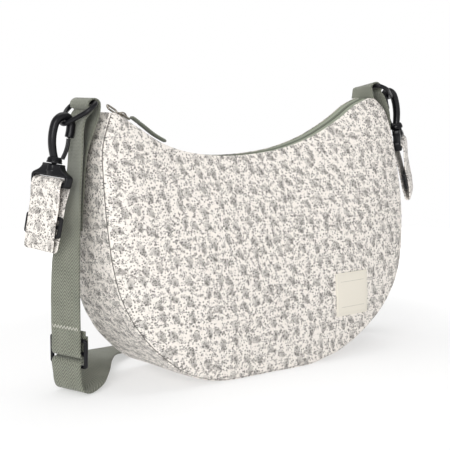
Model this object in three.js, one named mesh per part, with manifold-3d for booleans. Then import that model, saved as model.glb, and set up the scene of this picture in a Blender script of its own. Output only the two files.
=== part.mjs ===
import * as THREE from 'three';
import { mergeVertices } from 'three/addons/utils/BufferGeometryUtils.js';
import Module from 'manifold-3d';

// Sizes in millimetres, +Z up, the bag stands on its flattened bottom, front toward -Y
const CLOTH = 2.6;
const GAP = 0.4;
const WEB = 1.6;
const WEB_WIDTH = 38;
const WEB_STEPS = 3;
const BOTTOM_HALF_DEPTH = 53;
const TOP_HALF_DEPTH = 12;
const DEPTH_HEIGHT = 265;
const DEPTH_POWER = 0.95;
const ZIP_HALF_WIDTH = 12;
const PANEL_BULGE = 0.075;
const PANEL_COLUMNS = 42;
const PANEL_ROWS = 8;
const GUSSET_ROWS = 4;
const TAPE_THICK = 1.2;
const COIL_HALF_WIDTH = 2.2;
const RING_WIRE = 2.2;
const HOOK_ROD = { wide: 4.6, thick: 3.1 };
const SLIDER_BAR = 1.6;

// Outline of the front and back seams, from the left top corner round the bottom to the right one
const OUTLINE = [
  { x: -168, z: 256 }, { x: -175, z: 240 }, { x: -181.5, z: 221 }, { x: -183, z: 200 }, { x: -183.6, z: 172 },
  { x: -183.2, z: 145 }, { x: -181, z: 116 }, { x: -176, z: 90 }, { x: -167, z: 69 }, { x: -153, z: 48 },
  { x: -134, z: 29 }, { x: -112, z: 13 }, { x: -88, z: 4 }, { x: -62, z: 0 }, { x: -10, z: 0 }, { x: 40, z: 0 },
  { x: 66, z: 4 }, { x: 90, z: 10 }, { x: 114, z: 20 }, { x: 144, z: 38 }, { x: 164, z: 56 }, { x: 179, z: 77 },
  { x: 188, z: 101 }, { x: 194, z: 132 }, { x: 196, z: 158 }, { x: 195.2, z: 185 }, { x: 192.8, z: 213 },
  { x: 188.5, z: 238 }, { x: 182, z: 254 }, { x: 170, z: 265 },
];

// Upper edge of the panels, beside the zip, left to right
const TOP_EDGE = [
  { x: -161, z: 255.5 }, { x: -153, z: 251 }, { x: -134, z: 240 }, { x: -112, z: 227.5 }, { x: -86, z: 218.5 },
  { x: -48, z: 212.5 }, { x: -16, z: 211.5 }, { x: 17, z: 213.3 }, { x: 43, z: 217 }, { x: 77, z: 226 },
  { x: 99, z: 235 }, { x: 121, z: 246 }, { x: 141, z: 258 }, { x: 161, z: 265.5 },
];

// Label patch on the front panel
const LABEL = { x: 99, z: 67, width: 46, height: 44, thick: 1.2, steps: 5 };

// Zip slider, its wire ring and the soft pull
const ZIP_SLIDER = { x: -148, length: 13, width: 9, height: 5, lift: 1, tilt: 30 };
const ZIP_RING = { lift: 0.6, half: 6, rise: 3.2, wire: 0.9, roll: 40 };
const ZIP_PULL = [
  { x: -139, y: -3, z: 251 }, { x: -127, y: -3.6, z: 242.6 }, { x: -115, y: -4.2, z: 234.2 },
  { x: -102, y: -4.8, z: 227.4 },
];
const PULL = { width: 7, thick: 2.2 };

// Rows of a webbing strip: centre of the row, plan angle of its width and, where it leans, its tilt
const STRAP_LEFT = [
  { x: -193, y: 10.5, z: 150, a: 77 }, { x: -191.8, y: 10.4, z: 168, a: 76 }, { x: -190.2, y: 10.2, z: 186, a: 76 },
  { x: -189.3, y: 10, z: 200, a: 76 }, { x: -188.2, y: 9.4, z: 215, a: 77 }, { x: -186.3, y: 8, z: 228, a: 79 },
  { x: -182.8, y: 6, z: 241, a: 81 }, { x: -179.4, y: 4.8, z: 252, a: 83 },
  { x: -178.2, y: 4.4, z: 261.5, a: 84 }, { x: -178.6, y: 4.5, z: 265.3, a: 84 }, { x: -180.8, y: 4.7, z: 267.7, a: 84 },
  { x: -184.1, y: 5.1, z: 268.5, a: 84 }, { x: -187.2, y: 5.4, z: 267.2, a: 84 }, { x: -189, y: 5.6, z: 264.3, a: 84 },
  { x: -189.2, y: 5.6, z: 260.5, a: 84 }, { x: -190.4, y: 5.7, z: 255.5, a: 83 }, { x: -193, y: 5.6, z: 249, a: 81 },
  { x: -194.8, y: 4.4, z: 238, a: 79 }, { x: -195.4, y: 3.6, z: 225, a: 78 }, { x: -196.8, y: 3.2, z: 209, a: 78 },
  { x: -198.6, y: 3, z: 194, a: 79 }, { x: -201, y: 3, z: 176, a: 83 }, { x: -205, y: 2.8, z: 150, a: 92 },
  { x: -208.4, y: 2.4, z: 119, a: 100 }, { x: -209.6, y: 2, z: 90, a: 102 },
];
const STRAP_BACK = [
  { x: -198.5, y: 4.2, z: 2.3, a: 103 }, { x: -187, y: 9, z: 4.2, a: 110 }, { x: -171, y: 25, z: 9.5, a: 124 },
  { x: -150, y: 52, z: 14, a: 134 }, { x: -122, y: 84, z: 11, a: 132 }, { x: -85, y: 107, z: 5, a: 118 },
  { x: -45, y: 118, z: 1.4, a: 102 }, { x: 0, y: 121, z: 0.9, a: 91 }, { x: 50, y: 118, z: 0.9, a: 80 },
  { x: 98, y: 107, z: 0.9, a: 68 }, { x: 140, y: 88, z: 0.9, a: 60 }, { x: 172, y: 67, z: 0.9, a: 57 },
  { x: 192, y: 52, z: 1.5, a: 60 }, { x: 201, y: 46, z: 6, a: 64 }, { x: 204.4, y: 43, z: 15, a: 68 },
  { x: 204.6, y: 39, z: 40, a: 74 }, { x: 204, y: 33, z: 85, a: 78 }, { x: 203.4, y: 26, z: 130, a: 80 },
  { x: 202.6, y: 18, z: 180, a: 80 }, { x: 199.5, y: 9.5, z: 222, a: 79 },
  { x: 191.5, y: 3.6, z: 249, a: 78, t: -3 }, { x: 182.4, y: 1.8, z: 264, a: 78, t: -7 },
  { x: 177.6, y: 1.8, z: 271.4, a: 78, t: -9 }, { x: 177.2, y: 1.8, z: 275.1, a: 78, t: -9 },
  { x: 175.4, y: 2.2, z: 277.9, a: 78, t: -9 }, { x: 172.4, y: 2.9, z: 279.2, a: 78, t: -9 },
  { x: 169.2, y: 3.6, z: 278.5, a: 78, t: -9 }, { x: 166.9, y: 4.1, z: 276, a: 78, t: -8 },
  { x: 166.5, y: 4.2, z: 272.4, a: 79, t: -6 }, { x: 166.6, y: 4.1, z: 269, a: 81, t: -3 },
  { x: 166.8, y: 4, z: 266.3, a: 84, t: 0 },
];

// Slider of the strap: place, plan angle of its width and the heights of its bars
const STRAP_SLIDER = { x: -207, y: 2, z: 40, a: 102, pitch: 12, half: 20.4, side: 3.2, thick: 3 };

// Way of each webbing through the slider: out from the slider plane and up from its middle bar
const SEWN_END = [
  { o: 3.2, up: 24 }, { o: 3, up: 13 }, { o: 3.2, up: 5 }, { o: 3.2, up: 0 }, { o: 1.9, up: -3.3 },
  { o: -1.9, up: -3.3 }, { o: -3.2, up: 0 }, { o: -3, up: 8 }, { o: -3, up: 20 },
];
const WOVEN_END = [
  { o: -5.7, up: 15 }, { o: -5.7, up: 9 }, { o: -5.7, up: 4 }, { o: -5, up: -3.4 }, { o: -1.8, up: -7 },
  { o: 1.6, up: -8 }, { o: 3.6, up: -11.5 }, { o: 3.2, up: -16 }, { o: 2.2, up: -22 }, { o: 1.2, up: -29 },
  { o: -1.6, up: -35 },
];

// Corner hardware: middle of the ring bar, plan angle outward, tilt of the bar, dip of the ring,
// then yaw and lean of the hook and the turn of what swivels under it
const LEFT_RIG = { x: -183.6, y: 5, z: 264.9, out: 174, tilt: 0, dip: 40, yaw: 0, lean: 11, turn: 18 };
const RIGHT_RIG = { x: 171.9, y: 3, z: 275.6, out: -12, tilt: -9, dip: 20, yaw: 12, lean: 17, turn: -52 };
const RING = { half: 22.6, straight: 11, reach: 29, nose: 5 };

// Snap hook in its own plane: p away from the bag, q up from the ring wire
const HOOK_PATH = [
  { p: -6.9, q: -11 }, { p: -7, q: -4 }, { p: -6, q: 3 }, { p: -2, q: 6.8 }, { p: 3, q: 6.2 },
  { p: 6.8, q: 2 }, { p: 8.2, q: -6 }, { p: 7.6, q: -16 }, { p: 5.4, q: -25 }, { p: 3, q: -32 },
];
const GATE_PATH = [
  { p: -4.2, q: -30.4 }, { p: -6.2, q: -24 }, { p: -7.2, q: -18 }, { p: -7.1, q: -11.8 },
];
const GATE = { width: 6.4, thick: 2.2 };
const HOOK_SEAT = 1.1;
const COLLAR = { top: -30.5, bottom: -35, radius: 7.2, stem: 2.2, stemEnd: -43 };
const BASE = { top: -35.5, bottom: -56, topHalf: 11, half: 24, thick: 8, slotTop: -47, slotBottom: -51.5, slotHalf: 20 };

// Printed loop: half depth of its band at heights below the slot, then its rounded ends
const LOOP_SIDE = [
  { q: -58, half: 6.6 }, { q: -66, half: 5.4 }, { q: -74, half: 4.6 }, { q: -100, half: 4.4 }, { q: -108, half: 3.6 },
];
const LOOP = { top: -47.4, bottom: -114, topHalf: 6.6, bottomHalf: 3.6, thick: 1.7, arc: 8 };
const LOOP_SLIDER = { out: 0.9, q: -91, pitch: 8, half: 20.2, side: 3.2, thick: 3 };

const wasm = await Module();
wasm.setup();
const group = new THREE.Group();

// Surface colours
const print = new THREE.MeshStandardMaterial({ color: 0xe6e0d6, roughness: 0.9 });
const sage = new THREE.MeshStandardMaterial({ color: 0x8c9a86, roughness: 0.85 });
const cream = new THREE.MeshStandardMaterial({ color: 0xece6d6, roughness: 0.8 });
const black = new THREE.MeshStandardMaterial({ color: 0x1b1c1f, roughness: 0.45 });
const metal = new THREE.MeshStandardMaterial({ color: 0x8a8375, roughness: 0.35, metalness: 1 });

// Shared helpers
const rad = (degrees) => degrees * Math.PI / 180;
const vec = (x, y, z) => new THREE.Vector3(x, y, z);

function addMesh(name, geometry, material) {
  const mesh = new THREE.Mesh(geometry, material);
  mesh.name = name;
  group.add(mesh);
}

function smooth(points, count) {
  return new THREE.CatmullRomCurve3(points, false, 'centripetal').getSpacedPoints(count);
}

function volumeOf(positions, index) {
  const [a, b, c] = [vec(), vec(), vec()];
  let total = 0;
  for (let i = 0; i < index.length; i += 3) {
    a.fromArray(positions, 3 * index[i]);
    b.fromArray(positions, 3 * index[i + 1]);
    c.fromArray(positions, 3 * index[i + 2]);
    total += a.dot(b.cross(c)) / 6;
  }
  return total;
}

// Closed sheet from two grids of points, one for each face
function thickSheet(outer, inner) {
  const rows = outer.length;
  const columns = outer[0].length;
  const positions = [];
  for (const grid of [outer, inner]) {
    for (const row of grid) {
      for (const point of row) positions.push(point.x, point.y, point.z);
    }
  }
  const at = (face, i, j) => face * rows * columns + i * columns + j;
  const index = [];
  const quad = (a, b, c, d) => index.push(a, b, c, a, c, d);
  for (let i = 0; i + 1 < rows; i += 1) {
    for (let j = 0; j + 1 < columns; j += 1) {
      quad(at(0, i, j), at(0, i + 1, j), at(0, i + 1, j + 1), at(0, i, j + 1));
      quad(at(1, i, j), at(1, i, j + 1), at(1, i + 1, j + 1), at(1, i + 1, j));
    }
    quad(at(0, i, 0), at(1, i, 0), at(1, i + 1, 0), at(0, i + 1, 0));
    const last = columns - 1;
    quad(at(0, i, last), at(0, i + 1, last), at(1, i + 1, last), at(1, i, last));
  }
  for (let j = 0; j + 1 < columns; j += 1) {
    quad(at(0, 0, j), at(0, 0, j + 1), at(1, 0, j + 1), at(1, 0, j));
    const last = rows - 1;
    quad(at(0, last, j), at(1, last, j), at(1, last, j + 1), at(0, last, j + 1));
  }
  if (volumeOf(positions, index) < 0) index.reverse();
  const geometry = new THREE.BufferGeometry();
  geometry.setAttribute('position', new THREE.Float32BufferAttribute(positions, 3));
  geometry.setIndex(index);
  return geometry;
}

// Solids for adding and cutting
function solidOf(geometry) {
  const bare = geometry.clone();
  bare.deleteAttribute('normal');
  bare.deleteAttribute('uv');
  const merged = mergeVertices(bare, 1e-4);
  const vertProperties = new Float32Array(merged.attributes.position.array);
  const triVerts = new Uint32Array(merged.index.array);
  return new wasm.Manifold(new wasm.Mesh({ numProp: 3, vertProperties, triVerts }));
}

function geometryOf(solid) {
  const mesh = solid.getMesh();
  const geometry = new THREE.BufferGeometry();
  geometry.setAttribute('position', new THREE.Float32BufferAttribute(mesh.vertProperties, 3));
  geometry.setIndex(new THREE.Uint32BufferAttribute(mesh.triVerts, 1));
  return geometry;
}

// Rod of oval section along an open path in the XZ plane
function ovalRod(points, wide, thick, steps, sides) {
  const shape = new THREE.Shape().absellipse(0, 0, wide, thick, 0, 2 * Math.PI, false, 0);
  const path = new THREE.CatmullRomCurve3(points, false, 'centripetal');
  return new THREE.ExtrudeGeometry(shape, { steps, curveSegments: sides, bevelEnabled: false, extrudePath: path });
}

// Closed wire through corner points with rounded corners
function wireLoop(corners, round, radius, segments, sides) {
  const path = new THREE.CurvePath();
  const count = corners.length;
  const cut = (from, to) => from.clone().add(to.clone().sub(from).setLength(round));
  for (let i = 0; i < count; i += 1) {
    const here = corners[i];
    const next = corners[(i + 1) % count];
    const after = corners[(i + 2) % count];
    path.add(new THREE.LineCurve3(cut(here, next), cut(next, here)));
    path.add(new THREE.QuadraticBezierCurve3(cut(next, here), next, cut(next, after)));
  }
  return new THREE.TubeGeometry(path, segments, radius, sides, true);
}

// Outline paths of the bag
const outline = smooth(OUTLINE.map((row) => vec(row.x, 0, row.z)), PANEL_COLUMNS);
const topEdge = smooth(TOP_EDGE.map((row) => vec(row.x, 0, row.z)), PANEL_COLUMNS);
for (const point of outline) point.z = Math.max(point.z, 0);

function halfDepth(z) {
  return BOTTOM_HALF_DEPTH - (BOTTOM_HALF_DEPTH - TOP_HALF_DEPTH) * Math.pow(z / DEPTH_HEIGHT, DEPTH_POWER);
}

// Point on the outer face of the front panel: column along the seam, part of the way up
function panelPoint(column, v) {
  const low = outline[column];
  const high = topEdge[column];
  const point = low.clone().lerp(high, v);
  const bulge = PANEL_BULGE * low.distanceTo(high) * 4 * v * (1 - v);
  point.y = -(halfDepth(low.z) * (1 - v) + ZIP_HALF_WIDTH * v + bulge);
  return point;
}

// Crescent panel, front or back
function panel(side) {
  const outer = [];
  const inner = [];
  for (let column = 0; column <= PANEL_COLUMNS; column += 1) {
    const face = [];
    const lining = [];
    for (let j = 0; j <= PANEL_ROWS; j += 1) {
      const point = panelPoint(column, j / PANEL_ROWS);
      face.push(vec(point.x, side * point.y, point.z));
      lining.push(vec(point.x, side * (point.y + CLOTH), point.z));
    }
    outer.push(face);
    inner.push(lining);
  }
  return thickSheet(outer, inner);
}

// Inward normal of a path in the XZ plane
function inward(path, i) {
  const ahead = path[Math.min(i + 1, path.length - 1)];
  const behind = path[Math.max(i - 1, 0)];
  const along = ahead.clone().sub(behind).normalize();
  return vec(-along.z, 0, along.x);
}

// Side and bottom strip between the panels
function gusset() {
  const outer = [];
  const inner = [];
  outline.forEach((point, i) => {
    const normal = inward(outline, i);
    const half = halfDepth(point.z) - CLOTH - GAP;
    const face = [];
    const lining = [];
    for (let j = 0; j <= GUSSET_ROWS; j += 1) {
      const y = half * (2 * j / GUSSET_ROWS - 1);
      face.push(vec(point.x, y, point.z));
      lining.push(vec(point.x, y, point.z).addScaledVector(normal, CLOTH));
    }
    outer.push(face);
    inner.push(lining);
  });
  return thickSheet(outer, inner);
}

// Strip along the zip between two distances from the middle
function zipStrip(near, far, lift, thick) {
  const upper = [];
  const lower = [];
  topEdge.forEach((point, i) => {
    const down = inward(topEdge, i).multiplyScalar(-1);
    if (down.z > 0) down.multiplyScalar(-1);
    const top = point.clone().addScaledVector(down, -lift);
    const base = top.clone().addScaledVector(down, thick);
    upper.push([near, far].map((y) => vec(top.x, y, top.z)));
    lower.push([near, far].map((y) => vec(base.x, y, base.z)));
  });
  return thickSheet(upper, lower);
}

// Flat webbing from rows of centres and plan angles
function webbing(rows) {
  const curve = new THREE.CatmullRomCurve3(rows.map((row) => vec(row.x, row.y, row.z)), false, 'centripetal');
  const path = curve.getPoints((rows.length - 1) * WEB_STEPS);
  const last = path.length - 1;
  const outer = [];
  const inner = [];
  path.forEach((point, i) => {
    const k = Math.min(Math.floor(i / WEB_STEPS), rows.length - 2);
    const angle = rad(THREE.MathUtils.lerp(rows[k].a, rows[k + 1].a, i / WEB_STEPS - k));
    const along = path[Math.min(i + 1, last)].clone().sub(path[Math.max(i - 1, 0)]);
    const tilt = rad(THREE.MathUtils.lerp(rows[k].t ?? 0, rows[k + 1].t ?? 0, i / WEB_STEPS - k));
    const wide = vec(Math.cos(angle) * Math.cos(tilt), Math.sin(angle) * Math.cos(tilt), Math.sin(tilt));
    const normal = along.clone().cross(wide).normalize();
    const across = normal.clone().cross(along).normalize();
    const edge = (side, face) => point.clone()
      .addScaledVector(across, side * WEB_WIDTH / 2).addScaledVector(normal, face * WEB / 2);
    outer.push([edge(-1, 1), edge(1, 1)]);
    inner.push([edge(-1, -1), edge(1, -1)]);
  });
  return thickSheet(outer, inner);
}

// Rows through the strap slider in the world
function sliderRows(rows) {
  const angle = rad(STRAP_SLIDER.a + 90);
  return rows.map((row) => ({
    x: STRAP_SLIDER.x + Math.cos(angle) * row.o,
    y: STRAP_SLIDER.y + Math.sin(angle) * row.o,
    z: STRAP_SLIDER.z + row.up,
    a: STRAP_SLIDER.a,
  }));
}

// Three-bar slider, its width along local y, its thickness along local x
function sliderFrame(spec) {
  const wide = spec.half + spec.side;
  const tall = spec.pitch + SLIDER_BAR;
  const open = spec.pitch - 2 * SLIDER_BAR;
  const plate = new THREE.BoxGeometry(spec.thick, 2 * wide, 2 * tall);
  const slot = new THREE.BoxGeometry(3 * spec.thick, 2 * spec.half, open);
  const upper = solidOf(slot).translate([0, 0, spec.pitch / 2]);
  const lower = solidOf(slot).translate([0, 0, -spec.pitch / 2]);
  return geometryOf(solidOf(plate).subtract(upper).subtract(lower));
}

// Frame of a corner: x away from the bag, y along the ring bar
function rigFrame(rig) {
  return new THREE.Matrix4().makeTranslation(rig.x, rig.y, rig.z)
    .multiply(new THREE.Matrix4().makeRotationZ(rad(rig.out)))
    .multiply(new THREE.Matrix4().makeRotationX(rad(rig.tilt)));
}

// Frame of the hook, its origin on the ring wire at the reach of the ring
function hookFrame(rig) {
  const dip = new THREE.Matrix4().makeRotationY(rad(rig.dip));
  const place = vec(RING.reach, 0, 0).applyMatrix4(dip).applyMatrix4(rigFrame(rig));
  return new THREE.Matrix4().makeTranslation(place.x, place.y, place.z - HOOK_SEAT)
    .multiply(new THREE.Matrix4().makeRotationZ(rad(rig.out + rig.yaw)))
    .multiply(new THREE.Matrix4().makeRotationY(rad(-rig.lean)));
}

// Frame of what turns on the stem of the hook
function swivelFrame(rig) {
  return hookFrame(rig).multiply(new THREE.Matrix4().makeTranslation(3, 0, 0))
    .multiply(new THREE.Matrix4().makeRotationZ(rad(rig.turn)));
}

function ring(rig) {
  const corners = [
    vec(0, -RING.half, 0), vec(RING.straight, -RING.half, 0), vec(RING.reach, -RING.nose, 0),
    vec(RING.reach, RING.nose, 0), vec(RING.straight, RING.half, 0), vec(0, RING.half, 0),
  ];
  const tilt = new THREE.Matrix4().makeRotationY(rad(rig.dip));
  const geometry = wireLoop(corners.map((corner) => corner.applyMatrix4(tilt)), RING.nose * 0.9, RING_WIRE, 42, 6);
  return geometry.applyMatrix4(rigFrame(rig));
}

function hook(rig) {
  const bend = ovalRod(HOOK_PATH.map((row) => vec(row.p, 0, row.q)), HOOK_ROD.wide, HOOK_ROD.thick, 24, 10);
  const collar = new THREE.CylinderGeometry(COLLAR.radius - 1, COLLAR.radius, COLLAR.top - COLLAR.bottom, 16);
  collar.rotateX(Math.PI / 2).translate(3, 0, (COLLAR.top + COLLAR.bottom) / 2);
  const stem = new THREE.CylinderGeometry(COLLAR.stem, COLLAR.stem, COLLAR.top - COLLAR.stemEnd, 12);
  stem.rotateX(Math.PI / 2).translate(3, 0, (COLLAR.top + COLLAR.stemEnd) / 2);
  return geometryOf(solidOf(bend).add(solidOf(collar)).add(solidOf(stem))).applyMatrix4(hookFrame(rig));
}

function hookGate(rig) {
  const path = smooth(GATE_PATH.map((row) => vec(row.p, 0, row.q)), 8);
  const faces = [1, -1].map((face) => path.map((point) => [-1, 1].map((side) => (
    vec(point.x + face * GATE.thick / 2, side * GATE.width / 2, point.z)))));
  return thickSheet(faces[0], faces[1]).applyMatrix4(hookFrame(rig));
}

function swivelBase(rig) {
  const shape = new THREE.Shape();
  shape.moveTo(-BASE.topHalf, BASE.top);
  shape.lineTo(BASE.topHalf, BASE.top);
  shape.bezierCurveTo(BASE.topHalf + 3, BASE.top - 9, BASE.half, BASE.slotTop + 5, BASE.half, BASE.slotTop - 1);
  shape.lineTo(BASE.half - 1.5, BASE.bottom);
  shape.lineTo(1.5 - BASE.half, BASE.bottom);
  shape.lineTo(-BASE.half, BASE.slotTop - 1);
  shape.bezierCurveTo(-BASE.half, BASE.slotTop + 5, -BASE.topHalf - 3, BASE.top - 9, -BASE.topHalf, BASE.top);
  const slot = new THREE.Path();
  slot.moveTo(-BASE.slotHalf, BASE.slotTop);
  slot.lineTo(-BASE.slotHalf, BASE.slotBottom);
  slot.lineTo(BASE.slotHalf, BASE.slotBottom);
  slot.lineTo(BASE.slotHalf, BASE.slotTop);
  shape.holes.push(slot);
  const plate = new THREE.ExtrudeGeometry(shape, { depth: BASE.thick, bevelEnabled: false, curveSegments: 5 });
  plate.rotateX(Math.PI / 2).rotateZ(Math.PI / 2).translate(-BASE.thick / 2, 0, 0);
  const hole = new THREE.CylinderGeometry(COLLAR.stem + GAP, COLLAR.stem + GAP, 14, 12);
  hole.rotateX(Math.PI / 2).translate(0, 0, BASE.top - 5);
  return geometryOf(solidOf(plate).subtract(solidOf(hole))).applyMatrix4(swivelFrame(rig));
}

// Closed printed loop through the slot of the base
function strollerLoop(rig) {
  const rounded = (cut) => {
    const arcs = [[LOOP.topHalf, LOOP.top - LOOP.topHalf, 0], [LOOP.bottomHalf, LOOP.bottom + LOOP.bottomHalf, 1]];
    const [top, bottom] = arcs.map(([half, middle, turn]) => Array.from({ length: LOOP.arc + 1 }, (_, k) => {
      const angle = Math.PI * (turn + k / LOOP.arc);
      return new THREE.Vector2((half - cut) * Math.cos(angle), middle + (half - cut) * Math.sin(angle));
    }));
    const side = (sign) => LOOP_SIDE.map((row) => new THREE.Vector2(sign * (row.half - cut), row.q));
    return [...top, ...side(-1), ...bottom, ...side(1).reverse()];
  };
  const shape = new THREE.Shape(rounded(0));
  shape.holes.push(new THREE.Path(rounded(LOOP.thick)));
  const band = new THREE.ExtrudeGeometry(shape, { depth: WEB_WIDTH, bevelEnabled: false });
  band.rotateX(Math.PI / 2).translate(0, WEB_WIDTH / 2, 0);
  return band.applyMatrix4(swivelFrame(rig));
}

function loopSlider(rig) {
  const frame = sliderFrame(LOOP_SLIDER);
  return frame.translate(LOOP_SLIDER.out, 0, LOOP_SLIDER.q).applyMatrix4(swivelFrame(rig));
}

// Cloth of the bag
addMesh('front_panel', panel(1), print);
addMesh('back_panel', panel(-1), print);
addMesh('gusset', gusset(), print);

// Zip along the top
const tapeEdge = ZIP_HALF_WIDTH - CLOTH - GAP;
addMesh('zip_tape_front', zipStrip(-tapeEdge, -COIL_HALF_WIDTH - GAP, -0.6, TAPE_THICK), sage);
addMesh('zip_tape_back', zipStrip(COIL_HALF_WIDTH + GAP, tapeEdge, -0.6, TAPE_THICK), sage);
addMesh('zip_coil', zipStrip(-COIL_HALF_WIDTH, COIL_HALF_WIDTH, 0.2, 2), sage);

// Middle of the slider, on the zip
function sliderPlace() {
  const row = topEdge.reduce((best, point) => (
    Math.abs(point.x - ZIP_SLIDER.x) < Math.abs(best.x - ZIP_SLIDER.x) ? point : best));
  return vec(row.x, 0, row.z + ZIP_SLIDER.lift + ZIP_SLIDER.height / 2);
}

function zipSlider() {
  const body = new THREE.BoxGeometry(ZIP_SLIDER.length, ZIP_SLIDER.width, ZIP_SLIDER.height);
  const place = sliderPlace();
  return body.rotateY(rad(ZIP_SLIDER.tilt)).translate(place.x, place.y, place.z);
}

function zipRing() {
  const { half, rise, wire } = ZIP_RING;
  const corners = [vec(-half, -rise, 0), vec(half, -rise, 0), vec(half, rise, 0), vec(-half, rise, 0)];
  const geometry = wireLoop(corners, rise * 0.9, wire, 40, 6);
  const place = sliderPlace();
  geometry.rotateX(rad(ZIP_RING.roll)).translate(-ZIP_SLIDER.length / 2 - half - wire - GAP, 0, ZIP_RING.lift);
  return geometry.rotateY(rad(ZIP_SLIDER.tilt)).translate(place.x, place.y, place.z);
}

function zipPull() {
  const path = smooth(ZIP_PULL.map((row) => vec(row.x, row.y, row.z)), 12);
  const up = (i) => inward(path, i).multiplyScalar(Math.sign(inward(path, i).z));
  const faces = [1, -1].map((face) => path.map((point, i) => [-1, 1].map((side) => (
    point.clone().addScaledVector(up(i), face * PULL.thick / 2).add(vec(0, side * PULL.width / 2, 0))))));
  return thickSheet(faces[0], faces[1]);
}

addMesh('zip_slider', zipSlider(), metal);
addMesh('zip_ring', zipRing(), metal);
addMesh('zip_pull', zipPull(), sage);

// Depth of the front face at a place in the XZ plane
function frontFace(x, z) {
  const flat = (point) => vec(point.x, 0, point.z);
  const place = vec(x, 0, z);
  for (let column = 0; column < PANEL_COLUMNS; column += 1) {
    for (let j = 0; j < PANEL_ROWS; j += 1) {
      const at = (i, k) => panelPoint(column + i, (j + k) / PANEL_ROWS);
      for (const corners of [[at(0, 0), at(1, 0), at(1, 1)], [at(0, 0), at(1, 1), at(0, 1)]]) {
        const face = new THREE.Triangle(...corners.map(flat));
        if (face.containsPoint(place)) {
          const part = face.getBarycoord(place, vec());
          return part.x * corners[0].y + part.y * corners[1].y + part.z * corners[2].y;
        }
      }
    }
  }
  return 0;
}

// Flat patch laid on the bulge of the front
function labelPatch() {
  const faces = [LABEL.thick + GAP, GAP].map((lift) => {
    const grid = [];
    for (let i = 0; i <= LABEL.steps; i += 1) {
      const row = [];
      for (let j = 0; j <= LABEL.steps; j += 1) {
        const x = LABEL.x + LABEL.width * (i / LABEL.steps - 0.5);
        const z = LABEL.z + LABEL.height * (j / LABEL.steps - 0.5);
        row.push(vec(x, frontFace(x, z) - lift, z));
      }
      grid.push(row);
    }
    return grid;
  });
  return thickSheet(faces[0], faces[1]);
}

addMesh('label_patch', labelPatch(), cream);

// Strap and its slider
addMesh('strap_left', webbing([...STRAP_LEFT, ...sliderRows(SEWN_END)]), sage);
addMesh('strap_long', webbing([...sliderRows(WOVEN_END), ...STRAP_BACK]), sage);

function strapSlider() {
  const turn = new THREE.Matrix4().makeRotationZ(rad(STRAP_SLIDER.a - 90));
  turn.setPosition(STRAP_SLIDER.x, STRAP_SLIDER.y, STRAP_SLIDER.z);
  return sliderFrame(STRAP_SLIDER).applyMatrix4(turn);
}

addMesh('strap_slider', strapSlider(), black);

// Rings, snap hooks and printed loops at the corners
for (const [side, rig] of [['left', LEFT_RIG], ['right', RIGHT_RIG]]) {
  addMesh(`ring_${side}`, ring(rig), black);
  addMesh(`hook_${side}`, hook(rig), black);
  addMesh(`hook_gate_${side}`, hookGate(rig), black);
  addMesh(`swivel_base_${side}`, swivelBase(rig), black);
  addMesh(`stroller_loop_${side}`, strollerLoop(rig), print);
  addMesh(`loop_slider_${side}`, loopSlider(rig), black);
}

export default group;
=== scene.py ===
import cmath
import math
import bpy
from mathutils import Matrix, Vector, noise
from mathutils.geometry import tessellate_polygon


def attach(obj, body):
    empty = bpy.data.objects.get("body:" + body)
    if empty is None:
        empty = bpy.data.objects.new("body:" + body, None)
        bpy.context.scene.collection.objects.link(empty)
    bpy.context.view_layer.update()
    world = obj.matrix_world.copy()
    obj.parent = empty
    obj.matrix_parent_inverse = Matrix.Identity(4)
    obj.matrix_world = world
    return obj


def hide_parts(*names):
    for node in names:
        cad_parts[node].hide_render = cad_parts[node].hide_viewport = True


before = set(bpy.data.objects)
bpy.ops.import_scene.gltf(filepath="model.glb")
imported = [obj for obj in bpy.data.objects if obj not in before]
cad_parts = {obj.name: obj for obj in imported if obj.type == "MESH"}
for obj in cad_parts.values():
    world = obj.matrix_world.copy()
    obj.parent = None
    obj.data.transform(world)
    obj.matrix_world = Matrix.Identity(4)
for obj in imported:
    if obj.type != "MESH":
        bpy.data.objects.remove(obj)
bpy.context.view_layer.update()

mm = 0.001
scene = bpy.context.scene
print("frame loaded:", len(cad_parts), "nodes")


# curves through measured rows, the same way the solids are drawn
def curveThrough(rows, perRow=24):
    points = [Vector(row) for row in rows]
    points = [2 * points[0] - points[1]] + points + [2 * points[-1] - points[-2]]
    path = []
    for i in range(1, len(points) - 2):
        a, b, c, d = points[i - 1:i + 3]
        ab, bc, cd = (max((q - p).length, 1e-6) ** 0.5 for p, q in ((a, b), (b, c), (c, d)))
        mb = ((b - a) / ab - (c - a) / (ab + bc) + (c - b) / bc) * bc
        mc = ((c - b) / bc - (d - b) / (bc + cd) + (d - c) / cd) * bc
        for k in range(perRow):
            t = k / perRow
            path.append((2 * t**3 - 3 * t**2 + 1) * b + (t**3 - 2 * t**2 + t) * mb
                        + (3 * t**2 - 2 * t**3) * c + (t**3 - t**2) * mc)
    path.append(points[-2].copy())
    return path


def lengthsOf(path):
    out = [0.0]
    for p, q in zip(path, path[1:]):
        out.append(out[-1] + (q - p).length)
    return out


class Track:  # a path that is read by its share of length
    def __init__(self, path):
        self.path = path
        self.lengths = lengthsOf(path)
        self.total = self.lengths[-1]

    def at(self, share):
        want = min(max(share, 0), 1) * self.total
        low, high = 0, len(self.lengths) - 1
        while high - low > 1:
            middle = (low + high) // 2
            low, high = (middle, high) if self.lengths[middle] <= want else (low, middle)
        span = self.lengths[high] - self.lengths[low]
        return self.path[low].lerp(self.path[high], (want - self.lengths[low]) / max(span, 1e-9))

    def spread(self, steps):  # evenly spaced points from end to end
        return [self.at(k / steps) for k in range(steps + 1)]


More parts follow.
